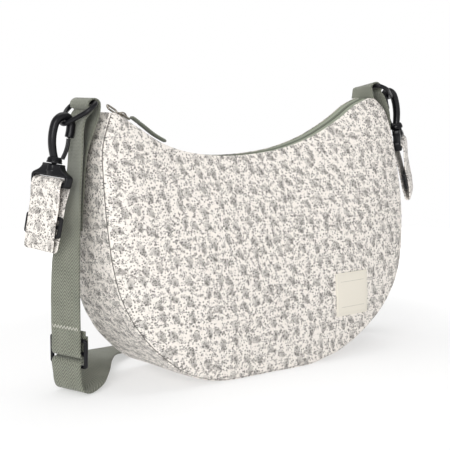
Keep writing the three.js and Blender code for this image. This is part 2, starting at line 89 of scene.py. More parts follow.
# mesh parts are (points, faces, uv per point), in millimetres until an object is made
def gridPart(grid, uv, capEnds=True):  # rows of points, each row closed round
    rows, columns = len(grid), len(grid[0])
    points = [p for row in grid for p in row]
    places = [q for row in uv for q in row]
    faces = []
    for i in range(rows - 1):
        for j in range(columns):
            k = (j + 1) % columns
            faces.append((i * columns + j, i * columns + k, (i + 1) * columns + k, (i + 1) * columns + j))
    if capEnds:
        faces.append(tuple(reversed(range(columns))))
        faces.append(tuple((rows - 1) * columns + j for j in range(columns)))
    return points, faces, places


def ringPart(grid, uv):  # the same, with its last row joined to its first
    points, faces, places = gridPart(grid + grid[:1], uv + uv[:1], capEnds=False)
    last = len(points) - len(grid[0])
    return points[:last], [tuple(k % last for k in face) for face in faces], places[:last]


def shellPart(rows, columns, cellAt):  # a closed sheet; each cell gives its face, its back and its uv place
    cells = [cellAt(i, j) for i in range(rows + 1) for j in range(columns + 1)]
    points = [cell[0] for cell in cells] + [cell[1] for cell in cells]
    places = [cell[2] for cell in cells] * 2
    wide, half = columns + 1, len(cells)
    faces = []
    for i in range(rows):
        for j in range(columns):
            a, b = i * wide + j, (i + 1) * wide + j
            faces.append((a, a + 1, b + 1, b))
            faces.append((half + a, half + b, half + b + 1, half + a + 1))
    rim = list(range(wide)) + [i * wide + columns for i in range(1, rows + 1)]
    rim += [rows * wide + j for j in range(columns - 1, -1, -1)]
    rim += [i * wide for i in range(rows - 1, 0, -1)]
    for a, b in zip(rim, rim[1:] + rim[:1]):
        faces.append((b, a, half + a, half + b))
    return points, faces, places


def moved(part, matrix):
    points, faces, places = part
    return [matrix @ Vector(p) for p in points], faces, places


def turned(degrees, axis):
    return Matrix.Rotation(math.radians(degrees), 4, axis)


def signedVolume(part):
    points, faces, _ = part
    total = 0.0
    for face in faces:
        a = Vector(points[face[0]])
        for k in range(1, len(face) - 1):
            total += a.dot(Vector(points[face[k]]).cross(Vector(points[face[k + 1]])))
    return total


def makeObject(name, parts, material, body, nodes, sharp=42):
    points, faces, places = [], [], []
    for part in parts:
        start = len(points)
        flip = signedVolume(part) < 0
        points += [Vector(p) * mm for p in part[0]]
        faces += [tuple(start + k for k in (reversed(f) if flip else f)) for f in part[1]]
        places += [(q[0] * mm, q[1] * mm) for q in part[2]]
    mesh = bpy.data.meshes.new(name)
    mesh.from_pydata(points, [], faces)
    layer = mesh.uv_layers.new(name="cloth")
    for loop in mesh.loops:
        layer.data[loop.index].uv = places[loop.vertex_index]
    mesh.shade_smooth()
    mesh.set_sharp_from_angle(angle=math.radians(sharp))
    mesh.materials.append(material)
    obj = bpy.data.objects.new(name, mesh)
    scene.collection.objects.link(obj)
    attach(obj, body)
    if nodes:
        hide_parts(*nodes)
    return obj


# shader maths read as Python: one wrapper round a socket
class Wire:
    def __init__(self, tree, socket=None):
        self.tree, self.socket = tree, socket

    def node(self, kind, settings=None, inputs=None, out=0):
        made = self.tree.nodes.new(kind)
        for key, value in (settings or {}).items():
            setattr(made, key, value)
        for key, value in (inputs or {}).items():
            if isinstance(value, Wire):
                self.tree.links.new(value.socket, made.inputs[key])
            else:
                made.inputs[key].default_value = value
        return Wire(self.tree, made.outputs[out])

    def other(self, out):  # another output of the same node
        return Wire(self.tree, self.socket.node.outputs[out])

    def maths(self, operation, *values):
        return self.node("ShaderNodeMath", {"operation": operation}, dict(enumerate(values)))

    def vectors(self, operation, *values):
        return self.node("ShaderNodeVectorMath", {"operation": operation}, dict(enumerate(values)))

    def mix(self, factor, a, b):
        return self.node("ShaderNodeMix", {"data_type": "RGBA"}, {0: factor, 6: a, 7: b}, 2)

    def speckle(self, place, scale, detail, flat=True, out=0):  # soft noise
        return self.node("ShaderNodeTexNoise", {"noise_dimensions": "2D" if flat else "3D"},
                         {"Vector": place, "Scale": scale, "Detail": detail}, out)

    def smooth(self, start, end, first, last):  # a smooth change from one value to another
        return self.node("ShaderNodeMapRange", {"interpolation_type": "SMOOTHSTEP"},
                         {0: self, 1: start, 2: end, 3: first, 4: last})

    def parts(self):  # x, y and z of a vector
        first = self.node("ShaderNodeSeparateXYZ", None, {0: self})
        return first, first.other(1), first.other(2)

    def fract(self):
        return self.maths("FRACT", self)

    def zigzag(self, period, phase=0.0):  # 0 at the middle of each period, 0.5 at its ends
        share = self / period
        return abs((share + phase if phase else share).fract() - 0.5)

    def into(self, socket):
        self.tree.links.new(self.socket, socket)

    def __add__(self, other):
        return self.maths("ADD", self, other)

    def __sub__(self, other):
        return self.maths("SUBTRACT", self, other)

    def __rsub__(self, other):
        return self.maths("SUBTRACT", other, self)

    def __mul__(self, other):
        return self.maths("MULTIPLY", self, other)

    def __truediv__(self, other):
        return self.maths("DIVIDE", self, other)

    def __pow__(self, other):
        return self.maths("POWER", self, other)

    def __lt__(self, other):
        return self.maths("LESS_THAN", self, other)

    def __gt__(self, other):
        return self.maths("GREATER_THAN", self, other)

    def __or__(self, other):  # the larger of two masks
        return self.maths("MAXIMUM", self, other)

    def __abs__(self):
        return self.maths("ABSOLUTE", self)

    __radd__, __rmul__ = __add__, __mul__


def newFinish(name, constants):
    material = bpy.data.materials.new(name)
    material.use_nodes = True
    shader = material.node_tree.nodes["Principled BSDF"]
    for key, value in constants.items():
        shader.inputs[key].default_value = value
    return material, Wire(material.node_tree), shader


def raised(wire, height, look):  # a bump from a height between 0 and 1
    return wire.node("ShaderNodeBump", None,
                     {"Strength": look["bump"], "Distance": look["bumpDepth"], "Height": height})


def clothPlace(wire):  # place on the flat cloth, in millimetres
    flat = wire.node("ShaderNodeUVMap", {"uv_map": "cloth"})
    return wire.node("ShaderNodeVectorMath", {"operation": "SCALE"}, {0: flat, 3: 1 / mm})


# scattered motifs: each cell gives its own turned frame and two chances
def scatter(wire, place, look):
    pitch, shift = look["pitch"], look["shift"]
    scaled = wire.vectors("MULTIPLY_ADD", place, (1 / pitch,) * 3, (shift, shift * 1.7, 0))
    cell = wire.node("ShaderNodeTexVoronoi", {"voronoi_dimensions": "2D", "feature": "F1"},
                     {"Vector": scaled, "Scale": 1.0, "Randomness": look["jitter"]}, "Position")
    chance = wire.node("ShaderNodeSeparateColor", None, {0: cell.other("Color")})
    offset = wire.vectors("SUBTRACT", scaled, cell)
    angle = chance * look["swing"] + look["lean"]
    spun = wire.node("ShaderNodeVectorRotate", {"rotation_type": "Z_AXIS"},
                     {"Vector": offset, "Angle": angle})
    x, y, _ = spun.parts()
    return x * pitch, y * pitch, chance.other("Green"), chance.other("Blue")


anyWay = 2 * math.pi
headLook = {
    "pitch": 16.0, "jitter": 0.6, "shift": 0.0, "lean": -1.25, "swing": 1.4, "wide": 3.5, "tall": 5.4,
    "foot": 1.1, "spokes": 57, "line": 0.095, "thinnest": 0.35, "tip": 0.36, "tipBand": 0.12,
    "stem": 4.5, "stemLine": 0.2, "stemBend": 0.03, "washFade": 0.7,
}
sprigLook = {
    "pitch": 7.4, "jitter": 0.9, "shift": 5.3, "lean": 0.0, "swing": anyWay, "half": 3.3, "wide": 2.1,
    "rowStep": 2.2, "rowSlant": 0.85, "berry": 0.5, "berryStep": 1.9, "stemLine": 0.2, "leftOut": 0.2,
}
petalLook = {
    "pitch": 8.2, "jitter": 0.85, "shift": 11.1, "lean": 0.0, "swing": anyWay, "reach": 1.5, "waist": 0.45,
    "line": 0.15, "middle": 0.45, "leftOut": 0.3, "wash": 0.7,
}
speckLook = {
    "pitch": 2.8, "jitter": 1.0, "shift": 2.9, "lean": 0.0, "swing": anyWay, "size": 0.56, "smallest": 0.6,
    "spread": 0.7, "stretch": 0.5, "leftOut": 0.3,
}
trailLook = {"scale": 0.13, "detail": 1.0, "line": 0.005}
clothLook = {
    "ground": (0.81, 0.763, 0.712, 1), "ink": (0.03, 0.028, 0.027, 1), "wash": (0.30, 0.285, 0.265, 1),
    "grain": (0.46, 0.435, 0.40, 1), "grainScale": 0.95, "grainFrom": 0.38, "grainStrength": 0.55,
    "wobbleScale": 0.22, "patchScale": 0.9, "patchLeast": 0.6, "patchSpread": 0.8,
    "inkStrength": 0.84, "washStrength": 0.34, "weave": 0.55, "weaveHeight": 0.5, "grainHeight": 0.8,
    "bump": 0.22, "bumpDepth": 0.0002,
}
clothShine = {"Roughness": 0.88, "Sheen Weight": 0.12, "Sheen Roughness": 0.5, "Specular IOR Level": 0.25}


def seedHeads(wire, place, look):  # soft ovals of fine rays, dotted along the top, on short bent stems
    x, y, _, _ = scatter(wire, place, look)
    oval = x * x / look["wide"] ** 2 + y * y / look["tall"] ** 2
    soft = (1 - oval) | 0.0
    foot = y + look["tall"] * look["foot"]
    step = 2 * math.pi / look["spokes"]
    ray = wire.maths("ARCTAN2", x, foot).zigzag(step, 0.5) * (x * x + foot * foot) ** 0.5 * step
    rays = (ray < look["line"] * (look["thinnest"] + soft)) * (oval < 1)
    tips = (ray < look["tip"]) * (abs(oval - 1) < look["tipBand"]) * (y > 0)
    stem = (abs(x - foot * foot * look["stemBend"]) < look["stemLine"]) * (foot < 0) * (foot > -look["stem"])
    return rays | tips | stem, soft ** look["washFade"]


def berrySprigs(wire, place, look):  # a stem with dots in slanting rows either side
    x, y, chance, _ = scatter(wire, place, look)
    side = abs(x)
    bend = y / look["half"]
    row = (y - side * look["rowSlant"]).zigzag(look["rowStep"]) * look["rowStep"]
    along = side.zigzag(look["berryStep"]) * look["berryStep"]
    berries = (row * row + along * along < look["berry"] ** 2) * (side < look["wide"] * (1 - bend * bend))
    twig = (side < look["stemLine"]) * (abs(y) < look["half"])
    return (berries | twig) * (chance > look["leftOut"])


def smallFlowers(wire, place, look):  # four petals drawn as an outline, with a filled middle
    x, y, chance, _ = scatter(wire, place, look)
    shown = chance > look["leftOut"]
    radius = (x * x + y * y) ** 0.5
    lobes = abs(wire.maths("COSINE", wire.maths("ARCTAN2", x, y) * 2))
    edge = look["reach"] * (look["waist"] + lobes * (1 - look["waist"]))
    drawn = ((abs(radius - edge) < look["line"]) | (radius < look["middle"])) * shown
    return drawn, (radius < edge) * shown * look["wash"]


def looseSpecks(wire, place, look):
    x, y, chance, size = scatter(wire, place, look)
    reach = look["size"] * (look["smallest"] + size * look["spread"])
    return (x * x * look["stretch"] + y * y < reach ** 2) * (chance > look["leftOut"])


def printedCloth(name, look):
    material, wire, shader = newFinish(name, clothShine)
    flat = clothPlace(wire)
    wobble = wire.speckle(flat, look["wobbleScale"], 2.0, out="Color")
    place = wire.vectors("ADD", flat, wire.vectors("SUBTRACT", wobble, (0.5, 0.5, 0.5)))
    heads, headWash = seedHeads(wire, place, headLook)
    flowers, flowerWash = smallFlowers(wire, place, petalLook)
    sprigs = berrySprigs(wire, place, sprigLook)
    specks = looseSpecks(wire, place, speckLook)
    trails = abs(wire.speckle(place, trailLook["scale"], trailLook["detail"]) - 0.5) < trailLook["line"]

    patchy = look["patchLeast"] + wire.speckle(place, look["patchScale"], 3.0) * look["patchSpread"]
    ink = (heads | sprigs | flowers | specks | trails) * patchy * look["inkStrength"]
    threads = wire.speckle(place, look["grainScale"], 3.0)
    tone = wire.mix((headWash | flowerWash) * look["washStrength"], look["ground"], look["wash"])
    tone = wire.mix((threads - look["grainFrom"]) * look["grainStrength"], tone, look["grain"])
    wire.mix(ink, tone, look["ink"]).into(shader.inputs["Base Color"])

    u, v, _ = place.parts()
    weave = u.zigzag(look["weave"]) + v.zigzag(look["weave"])
    height = weave * look["weaveHeight"] + threads * look["grainHeight"]
    raised(wire, height, look).into(shader.inputs["Normal"])
    return material


webLook = {
    "light": (0.305, 0.316, 0.252, 1), "dark": (0.07, 0.074, 0.058, 1), "rib": 9.5, "pick": 3.2,
    "slope": 1.15, "strand": 1.05, "edge": 18.2, "fuzzScale": 1.4, "wornScale": 0.05,
    "pickShade": 0.85, "strandShade": 0.2, "fuzzShade": 1.1, "wornShade": 0.35, "edgeShade": 0.2,
    "rough": 0.74, "pickRough": 0.14,
    "pickHeight": 0.75, "strandHeight": 0.2, "fuzzHeight": 0.3, "bump": 0.65, "bumpDepth": 0.0005,
}
webShine = {"Sheen Weight": 0.2, "Sheen Roughness": 0.45, "Specular IOR Level": 0.3}


def webbingCloth(name, look):  # herringbone: slanting picks that turn back at each rib
    material, wire, shader = newFinish(name, webShine)
    place = clothPlace(wire)
    u, v, _ = place.parts()
    turn = v.zigzag(look["rib"]) * look["rib"] * look["slope"]
    pick = (u + turn).zigzag(look["pick"]) * 2
    strand = v.zigzag(look["strand"]) * 2
    fuzz = wire.speckle(place, look["fuzzScale"], 4.0)
    worn = wire.speckle(place, look["wornScale"], 2.0)
    shade = pick * look["pickShade"] + strand * look["strandShade"] + (fuzz - 0.5) * look["fuzzShade"]
    shade = shade + (worn - 0.5) * look["wornShade"] + (abs(v) > look["edge"]) * look["edgeShade"]
    wire.mix(shade, look["light"], look["dark"]).into(shader.inputs["Base Color"])
    (look["rough"] + pick * look["pickRough"]).into(shader.inputs["Roughness"])
    height = (1 - pick) * look["pickHeight"] + (1 - strand) * look["strandHeight"]
    raised(wire, height + fuzz * look["fuzzHeight"], look).into(shader.inputs["Normal"])
    return material


tapeLook = {"slant": 0.5, "cross": 0.8, "fuzzScale": 1.6, "ribShade": 0.45, "crossShade": 0.15,
            "fuzzShade": 0.6, "ribHeight": 0.7, "fuzzHeight": 0.3, "bump": 0.5, "bumpDepth": 0.0003}
tapeShine = {"Roughness": 0.82, "Sheen Weight": 0.15, "Specular IOR Level": 0.3}


def wovenTape(name, light, dark, pitch, look=tapeLook):
    material, wire, shader = newFinish(name, tapeShine)
    place = clothPlace(wire)
    u, v, _ = place.parts()
    rib = (u + v * look["slant"]).zigzag(pitch) * 2
    cross = v.zigzag(pitch * look["cross"]) * 2
    fuzz = wire.speckle(place, look["fuzzScale"], 3.0)
    shade = rib * look["ribShade"] + cross * look["crossShade"] + (fuzz - 0.5) * look["fuzzShade"]
    wire.mix(shade, light, dark).into(shader.inputs["Base Color"])
    height = (1 - rib) * look["ribHeight"] + fuzz * look["fuzzHeight"]
    raised(wire, height, look).into(shader.inputs["Normal"])
    return material


plasticLook = {"grainScale": 2600.0, "cloudScale": 90.0, "roughSpread": 0.16, "bump": 0.12,
               "bumpDepth": 0.0002}


def mouldedPlastic(name, colour, rough, shine, look=plasticLook):
    material, wire, shader = newFinish(name, {"Base Color": colour, "Specular IOR Level": shine})
    place = wire.node("ShaderNodeTexCoord", None, None, "Object")
    cloudy = wire.speckle(place, look["cloudScale"], 3.0, flat=False)
    (rough + (cloudy - 0.5) * look["roughSpread"]).into(shader.inputs["Roughness"])
    grain = wire.speckle(place, look["grainScale"], 2.0, flat=False)
    raised(wire, grain, look).into(shader.inputs["Normal"])
    return material


metalLook = {"rubScale": 700.0, "roughSpread": 0.2}


def plainMetal(name, colour, rough, look=metalLook):
    material, wire, shader = newFinish(name, {"Base Color": colour, "Metallic": 1.0})
    place = wire.node("ShaderNodeTexCoord", None, None, "Object")
    rubbed = wire.speckle(place, look["rubScale"], 4.0, flat=False)
    (rough + (rubbed - 0.5) * look["roughSpread"]).into(shader.inputs["Roughness"])
    return material


labelLook = {
    "ground": (0.725, 0.683, 0.60, 1), "worn": (0.62, 0.58, 0.49, 1), "line": (0.30, 0.29, 0.25, 1),
    "twill": 0.6, "twillShade": 0.06, "fuzzScale": 0.5, "fuzzFrom": 0.4, "fuzzShade": 0.3,
    "rule": 0.55, "ruleAt": 13.0, "ruleHalf": 17.0, "ruleStrength": 0.75, "dash": 1.4, "dashFill": 0.62,
    "twillHeight": 0.6, "fuzzHeight": 0.4, "bump": 0.18, "bumpDepth": 0.0002,
}


def labelCloth(name, look):  # smooth twill with two thin rules of dashes and nothing lettered
    material, wire, shader = newFinish(name, {"Roughness": 0.7, "Specular IOR Level": 0.35})
    place = clothPlace(wire)
    u, v, _ = place.parts()
    twill = (u + v).zigzag(look["twill"]) * 2
    fuzz = wire.speckle(place, look["fuzzScale"], 4.0)
    rules = (abs(abs(v) - look["ruleAt"]) < look["rule"] / 2) * (abs(u) < look["ruleHalf"])
    rules = rules * ((u / look["dash"]).fract() < look["dashFill"])
    shade = (fuzz - look["fuzzFrom"]) * look["fuzzShade"] + twill * look["twillShade"]
    tone = wire.mix(shade, look["ground"], look["worn"])
    wire.mix(rules * look["ruleStrength"], tone, look["line"]).into(shader.inputs["Base Color"])
    raised(wire, twill * look["twillHeight"] + fuzz * look["fuzzHeight"], look).into(shader.inputs["Normal"])
    return material


sagePrint = printedCloth("printed cloth", clothLook)
sageWeb = webbingCloth("sage webbing", webLook)
zipWoven = wovenTape("zip tape", (0.30, 0.325, 0.25, 1), (0.17, 0.19, 0.145, 1), 1.1)
pullWoven = wovenTape("pull strip", (0.15, 0.16, 0.125, 1), (0.07, 0.075, 0.06, 1), 0.9)
stitchThread = wovenTape("pale thread", (0.66, 0.65, 0.58, 1), (0.45, 0.44, 0.38, 1), 0.5)
# seam shade: a dark finish for the seam lines, painted shade where the groove between panel and gusset falls
# into shadow
seamShade = wovenTape("seam shade", (0.12, 0.11, 0.10, 1), (0.05, 0.046, 0.042, 1), 1.6)
labelThread = wovenTape("seam thread", (0.74, 0.72, 0.66, 1), (0.55, 0.53, 0.48, 1), 0.5)
zipTeeth = mouldedPlastic("zip teeth", (0.15, 0.165, 0.125, 1), 0.45, 0.4)
blackPlastic = mouldedPlastic("black plastic", (0.0045, 0.0045, 0.006, 1), 0.31, 0.25)
darkNickel = plainMetal("dark nickel", (0.33, 0.30, 0.26, 1), 0.3)
creamLabel = labelCloth("cream label", labelLook)
print("finishes made")


# bag outline and the edge beside the zip, in millimetres (x, z)
bagOutline = [
    (-168, 256), (-175, 240), (-181.5, 221), (-183, 200), (-183.6, 172), (-183.2, 145), (-181, 116),
    (-176, 90), (-167, 69), (-153, 48), (-134, 29), (-112, 13), (-88, 4), (-62, 0), (-10, 0), (40, 0),
    (66, 4), (90, 10),
    (114, 20), (144, 38), (164, 56), (179, 77), (188, 101), (194, 132), (196, 158), (195.2, 185),
    (192.8, 213), (188.5, 238), (182, 254), (170, 265),
]
zipEdge = [
    (-161, 255.5), (-153, 251), (-134, 240), (-112, 227.5), (-86, 218.5), (-48, 212.5), (-16, 211.5),
    (17, 213.3), (43, 217), (77, 226), (99, 235), (121, 246), (141, 258), (161, 265.5),
]
outlineTrack = Track(curveThrough([(x, 0, z) for x, z in bagOutline]))
zipTrack = Track(curveThrough([(x, 0, z) for x, z in zipEdge]))

bagShape = {"bottomHalf": 53.0, "topHalf": 12.0, "height": 265.0, "power": 0.95, "bulge": 0.075,
            "cloth": 2.6, "fill": 0.6, "floorGap": 0.05}


def halfDepth(z):
    low, high = bagShape["bottomHalf"], bagShape["topHalf"]
    return low - (low - high) * (max(z, 0) / bagShape["height"]) ** bagShape["power"]


def wander(x, y, seed):  # soft noise, about -1 to 1
    return noise.noise(Vector((x, y, seed * 7.31)))


def hump(value, middle, width):  # 1 at the middle, falling off either side
    return math.exp(-((value - middle) / width) ** 2)


def eased(i, count, pull):  # rows gathered toward both ends, where the seams round over
    t = i / count
    return t - pull * math.sin(2 * math.pi * t) / (2 * math.pi)


def rolledEdge(seam, radius):  # cloth turned in at a seam: how far in its edge lies and how deep it drops
    reach = radius * (1 + math.sqrt(2))
    if seam >= reach:
        return seam, 0.0
    angle = math.radians(135) * (1 - seam / reach)
    return reach - radius * math.sin(angle), radius * (1 - math.cos(angle))


panelLook = {
    "columns": 230, "rows": 92, "rowPull": 0.86, "seamRound": 1.3,
    "rollDrop": 1.9, "rollRound": 1.9, "rollPower": 1.3, "seamHold": 26.0, "zipHold": 22.0,
    "softSize": 62.0, "softHeight": 1.3,
    "creaseSize": 24.0, "creaseTall": 52.8, "creaseHeight": 0.45,
    "pucker": 0.75, "puckerFade": 15.0, "puckerStep": 12.5, "puckerLong": 60.0, "puckerFrom": 2.5,
    "gather": 0.55, "gathers": [(0.9, 0.06, 0.05), (0.5, 0.27, 0.08)],  # strength, place and width
    "zipPucker": 0.35, "zipPuckerStep": 16.0, "zipPuckerLong": 40.0, "zipPuckerFade": 10.0,
    "zipPuckerFrom": 2.0,
}
panels = {  # which way it faces, its seed, and where its cloth is cut from the print
    "front": {"side": 1, "seed": 1.0, "cutFrom": 0},
    "back": {"side": -1, "seed": 9.0, "cutFrom": 700},
}


def panelColumn(share):  # the two ends of one column of a panel, and the length between them
    low, high = outlineTrack.at(share), zipTrack.at(share)
    low.z = max(low.z, 0)
    return low, high, (high - low).length


def panelDepth(low, span, v):  # puffed depth of a panel before its puckers
    return halfDepth(low.z) * (1 - v) + bagShape["topHalf"] * v + bagShape["bulge"] * span * 4 * v * (1 - v)


def panelFace(share, v, panel):  # outer face of a panel
    look, seed = panelLook, panel["seed"]
    low, high, span = panelColumn(share)
    seam, top = v * span, (1 - v) * span
    inward, drop = rolledEdge(seam, look["seamRound"])
    point = low.lerp(high, inward / span)
    arc = share * outlineTrack.total
    free = min(1, seam / look["seamHold"]) * min(1, top / look["zipHold"])
    x, z = point.x, point.z
    soft = look["softHeight"] * wander(x / look["softSize"], z / look["softSize"], seed)
    crease = look["creaseHeight"] * wander(x / look["creaseSize"], z / look["creaseTall"], seed + 1)
    gathered = look["gather"] + sum(strength * hump(share, *place) for strength, *place in look["gathers"])
    ripple = wander(arc / look["puckerStep"], seam / look["puckerLong"], seed + 2)
    ripple *= math.exp(-seam / look["puckerFade"]) * min(1, seam / look["puckerFrom"])
    zipRipple = wander(arc / look["zipPuckerStep"], top / look["zipPuckerLong"], seed + 3)
    zipRipple *= math.exp(-top / look["zipPuckerFade"]) * min(1, top / look["zipPuckerFrom"])
    y = panelDepth(low, span, v) + free * (soft + crease)
    y += look["pucker"] * gathered * ripple + look["zipPucker"] * zipRipple
    y -= drop + look["rollDrop"] * math.exp(-(top / look["rollRound"]) ** look["rollPower"])
    return Vector((x, -panel["side"] * y, max(z, bagShape["floorGap"])))


def makePanel(name, panel):
    columns, rows = panelLook["columns"], panelLook["rows"]

    def cellAt(i, j):
        share, v = i / columns, eased(j, rows, panelLook["rowPull"])
        low, _, span = panelColumn(share)
        face = panelFace(share, v, panel)
        deep = panelDepth(low, span, v) - bagShape["cloth"]
        return face, Vector((face.x, -panel["side"] * deep, face.z)), (face.x + panel["cutFrom"], face.z)

    cloth = makeObject(name + "_panel_cloth", [shellPart(columns, rows, cellAt)], sagePrint, "bag",
                       [name + "_panel"], sharp=60)


for name, panel in panels.items():
    makePanel(name, panel)
print("panels made")

gussetLook = {
    "columns": 330, "rows": 40, "rowPull": 0.8, "seamRound": 1.3,
    "puckerStep": 14.0, "pucker": 0.7, "puckerFade": 9.0, "puckerFrom": 2.0,
    "softHeight": 0.8, "softSize": 48.0, "seamHold": 14.0, "liningIn": 0.985, "cutFrom": 1600,
    "sewnTo": 125.0, "sewnLift": 0.25,  # the sewn webbing holds it flat at the left top
}


def inwardAt(track, share):
    along = (track.at(share + 0.002) - track.at(share - 0.002)).normalized()
    return Vector((-along.z, 0, along.x))


def gussetFace(share, across):
    look = gussetLook
    base, normal = outlineTrack.at(share), inwardAt(outlineTrack, share)
    half = halfDepth(base.z)
    seam = (1 - abs(across)) * half
    inward, drop = rolledEdge(seam, look["seamRound"])
    y = math.copysign(half - inward, across)
    arc = share * outlineTrack.total
    soft = wander(arc / look["softSize"], y / look["softSize"], 21) * min(1, seam / look["seamHold"])
    ripple = wander(arc / look["puckerStep"], 0, 31 if across < 0 else 41)
    ripple *= math.exp(-seam / look["puckerFade"]) * min(1, seam / look["puckerFrom"])
    lift = look["softHeight"] * soft + look["pucker"] * ripple
    lift *= 1 if arc > look["sewnTo"] else look["sewnLift"]
    point = Vector((base.x, y, base.z)) - normal * (lift - drop)
    point.z = max(point.z, bagShape["floorGap"])
    lining = Vector((base.x, point.y * look["liningIn"], max(base.z, 0))) + normal * bagShape["cloth"]
    return point, lining, arc


def makeGusset(look):
    def cellAt(i, j):
        face, lining, arc = gussetFace(i / look["columns"], 2 * eased(j, look["rows"], look["rowPull"]) - 1)
        return face, lining, (arc + look["cutFrom"], face.y)

    cloth = makeObject("gusset_cloth", [shellPart(look["columns"], look["rows"], cellAt)], sagePrint, "bag",
                       ["gusset"], sharp=60)


makeGusset(gussetLook)
print("gusset made")


# closed cross-section of a flat strip: (across, through) with rounded edges
def stripSection(width, thick, flat, bend):
    half, r = width / 2 - thick / 2, thick / 2
    top = [(-half + 2 * half * i / (flat - 1), r) for i in range(flat)]
    turns = [math.pi * k / bend for k in range(1, bend)]
    right = [(half + r * math.sin(turn), r * math.cos(turn)) for turn in turns]
    return top + right + [(-a, -b) for a, b in top] + [(-a, -b) for a, b in right]


def framesAlong(path, wideAt):  # normal and across direction at each point
    frames = []
    for i, point in enumerate(path):
        along = (path[min(i + 1, len(path) - 1)] - path[max(i - 1, 0)]).normalized()
        normal = along.cross(wideAt(i)).normalized()
        frames.append((point, normal, normal.cross(along).normalized()))
    return frames


def straightAcross(i):  # strips that keep their width along y
    return Vector((0, 1, 0))


def sweepPart(frames, section, shapeAt=None, under=-1):  # shapeAt changes the section; under turns the uv below
    lengths = lengthsOf([f[0] for f in frames])
    grid, uv = [], []
    for (point, normal, across), arc in zip(frames, lengths):
        shaped = [shapeAt(arc, a, n) for a, n in section] if shapeAt else section
        grid.append([point + across * a + normal * n for a, n in shaped])
        uv.append([(arc, a if n >= 0 else a * under) for a, n in section])
    return gridPart(grid, uv)


webbingSize = {"width": 38.0, "thick": 1.6, "stepsPerRow": 9, "flat": 15, "bend": 4,
               "edgeWaver": 0.16, "edgeLong": 9.0, "edgeWide": 40.0,
               "faceWaver": 0.10, "faceLong": 14.0, "faceWide": 12.0}

# rows of the webbing: x, y, z, the plan angle of its width and its tilt
leftRows = [
    (-193, 10.5, 150, 77, 0), (-191.8, 10.4, 168, 76, 0), (-190.2, 10.2, 186, 76, 0),
    (-189.3, 10, 200, 76, 0), (-188.2, 9.4, 215, 77, 0), (-186.3, 8, 228, 79, 0), (-182.8, 6, 241, 81, 0),
    (-179.4, 4.8, 252, 83, 0), (-178.2, 4.4, 261.5, 84, 0), (-178.6, 4.5, 265.3, 84, 0),
    (-180.8, 4.7, 267.7, 84, 0), (-184.1, 5.1, 268.5, 84, 0), (-187.4, 5.4, 267.3, 84, 0),
    (-189.7, 5.6, 264.6, 84, 0), (-189, 5.6, 261, 84, 0), (-185.8, 5.6, 258.4, 84, 0),
    (-188, 5.7, 255.6, 83, 0), (-192, 5.6, 249.6, 81, 0), (-194.8, 4.4, 238, 79, 0),
    (-195.4, 3.6, 225, 78, 0), (-196.8, 3.2, 209, 78, 0), (-198.6, 3, 194, 79, 0),
    (-201, 3, 176, 83, 0), (-205, 2.8, 150, 92, 0), (-208.4, 2.4, 119, 100, 0), (-209.6, 2, 90, 102, 0),
]
backRows = [
    (-198.5, 4.2, 2.3, 103, 0), (-187, 9, 4.2, 110, 0), (-171, 25, 9.5, 124, 0), (-150, 52, 14, 134, 0),
    (-122, 84, 11, 132, 0), (-85, 107, 5, 118, 0), (-45, 118, 1.4, 102, 0), (0, 121, 0.9, 91, 0),
    (50, 118, 0.9, 80, 0), (98, 107, 0.9, 68, 0), (140, 88, 0.9, 60, 0), (172, 67, 0.9, 57, 0),
    (192, 52, 1.5, 60, 0), (201, 46, 6, 64, 0), (204.4, 43, 15, 68, 0), (204.6, 39, 40, 74, 0),
    (204, 33, 85, 78, 0), (203.4, 26, 130, 80, 0), (202.6, 18, 180, 80, 0), (199.5, 9.5, 222, 79, 0),
    (191.5, 3.6, 249, 78, -3), (182.4, 1.8, 264, 78, -7), (177.6, 1.8, 271.4, 78, -9),
    (177.2, 1.8, 275.1, 78, -9), (175.4, 2.2, 277.9, 78, -9), (172.4, 2.9, 279.2, 78, -9),
    (169.2, 3.6, 278.5, 78, -9), (166.9, 4.1, 276, 78, -8), (166.5, 4.2, 272.4, 79, -6),
    (166.6, 4.1, 269, 81, -3), (166.8, 4, 264.8, 84, 0),
]
strapSlider = {"place": (-207.0, 2.0, 40.0), "turn": 102.0, "pitch": 12.0, "half": 20.4, "side": 3.2,
               "thick": 3.0}
# the webbing round the slider's bars: out from its middle and up, in millimetres
sewnEnd = [(3.2, 24), (3, 13), (3.2, 5), (3.2, 0), (1.9, -3.3), (-1.9, -3.3), (-3.2, 0), (-3, 8), (-3, 20)]
wovenEnd = [(-5.7, 15), (-5.7, 9), (-5.7, 4), (-5, -3.4), (-1.8, -7), (1.6, -8), (3.6, -11.5), (3.2, -16),
            (2.2, -22), (1.2, -29), (-1.6, -35)]


def throughSlider(rows):
    x, y, z = strapSlider["place"]
    angle = math.radians(strapSlider["turn"] + 90)
    return [(x + math.cos(angle) * out, y + math.sin(angle) * out, z + up, strapSlider["turn"], 0)
            for out, up in rows]


def webbingFrames(rows):
    steps = webbingSize["stepsPerRow"]

    def wideAt(i):
        k = min(i // steps, len(rows) - 2)
        ends = zip(rows[k][3:], rows[k + 1][3:])
        angle, tilt = (math.radians(p + (q - p) * (i / steps - k)) for p, q in ends)
        return Vector((math.cos(angle) * math.cos(tilt), math.sin(angle) * math.cos(tilt), math.sin(tilt)))

    return framesAlong(curveThrough([row[:3] for row in rows], steps), wideAt)


def wavered(arc, a, n):  # slight waver of the edges and the face
    size = webbingSize
    sideways = size["edgeWaver"] * wander(arc / size["edgeLong"], a / size["edgeWide"], 51)
    return a + sideways, n + size["faceWaver"] * wander(arc / size["faceLong"], a / size["faceWide"], 52)


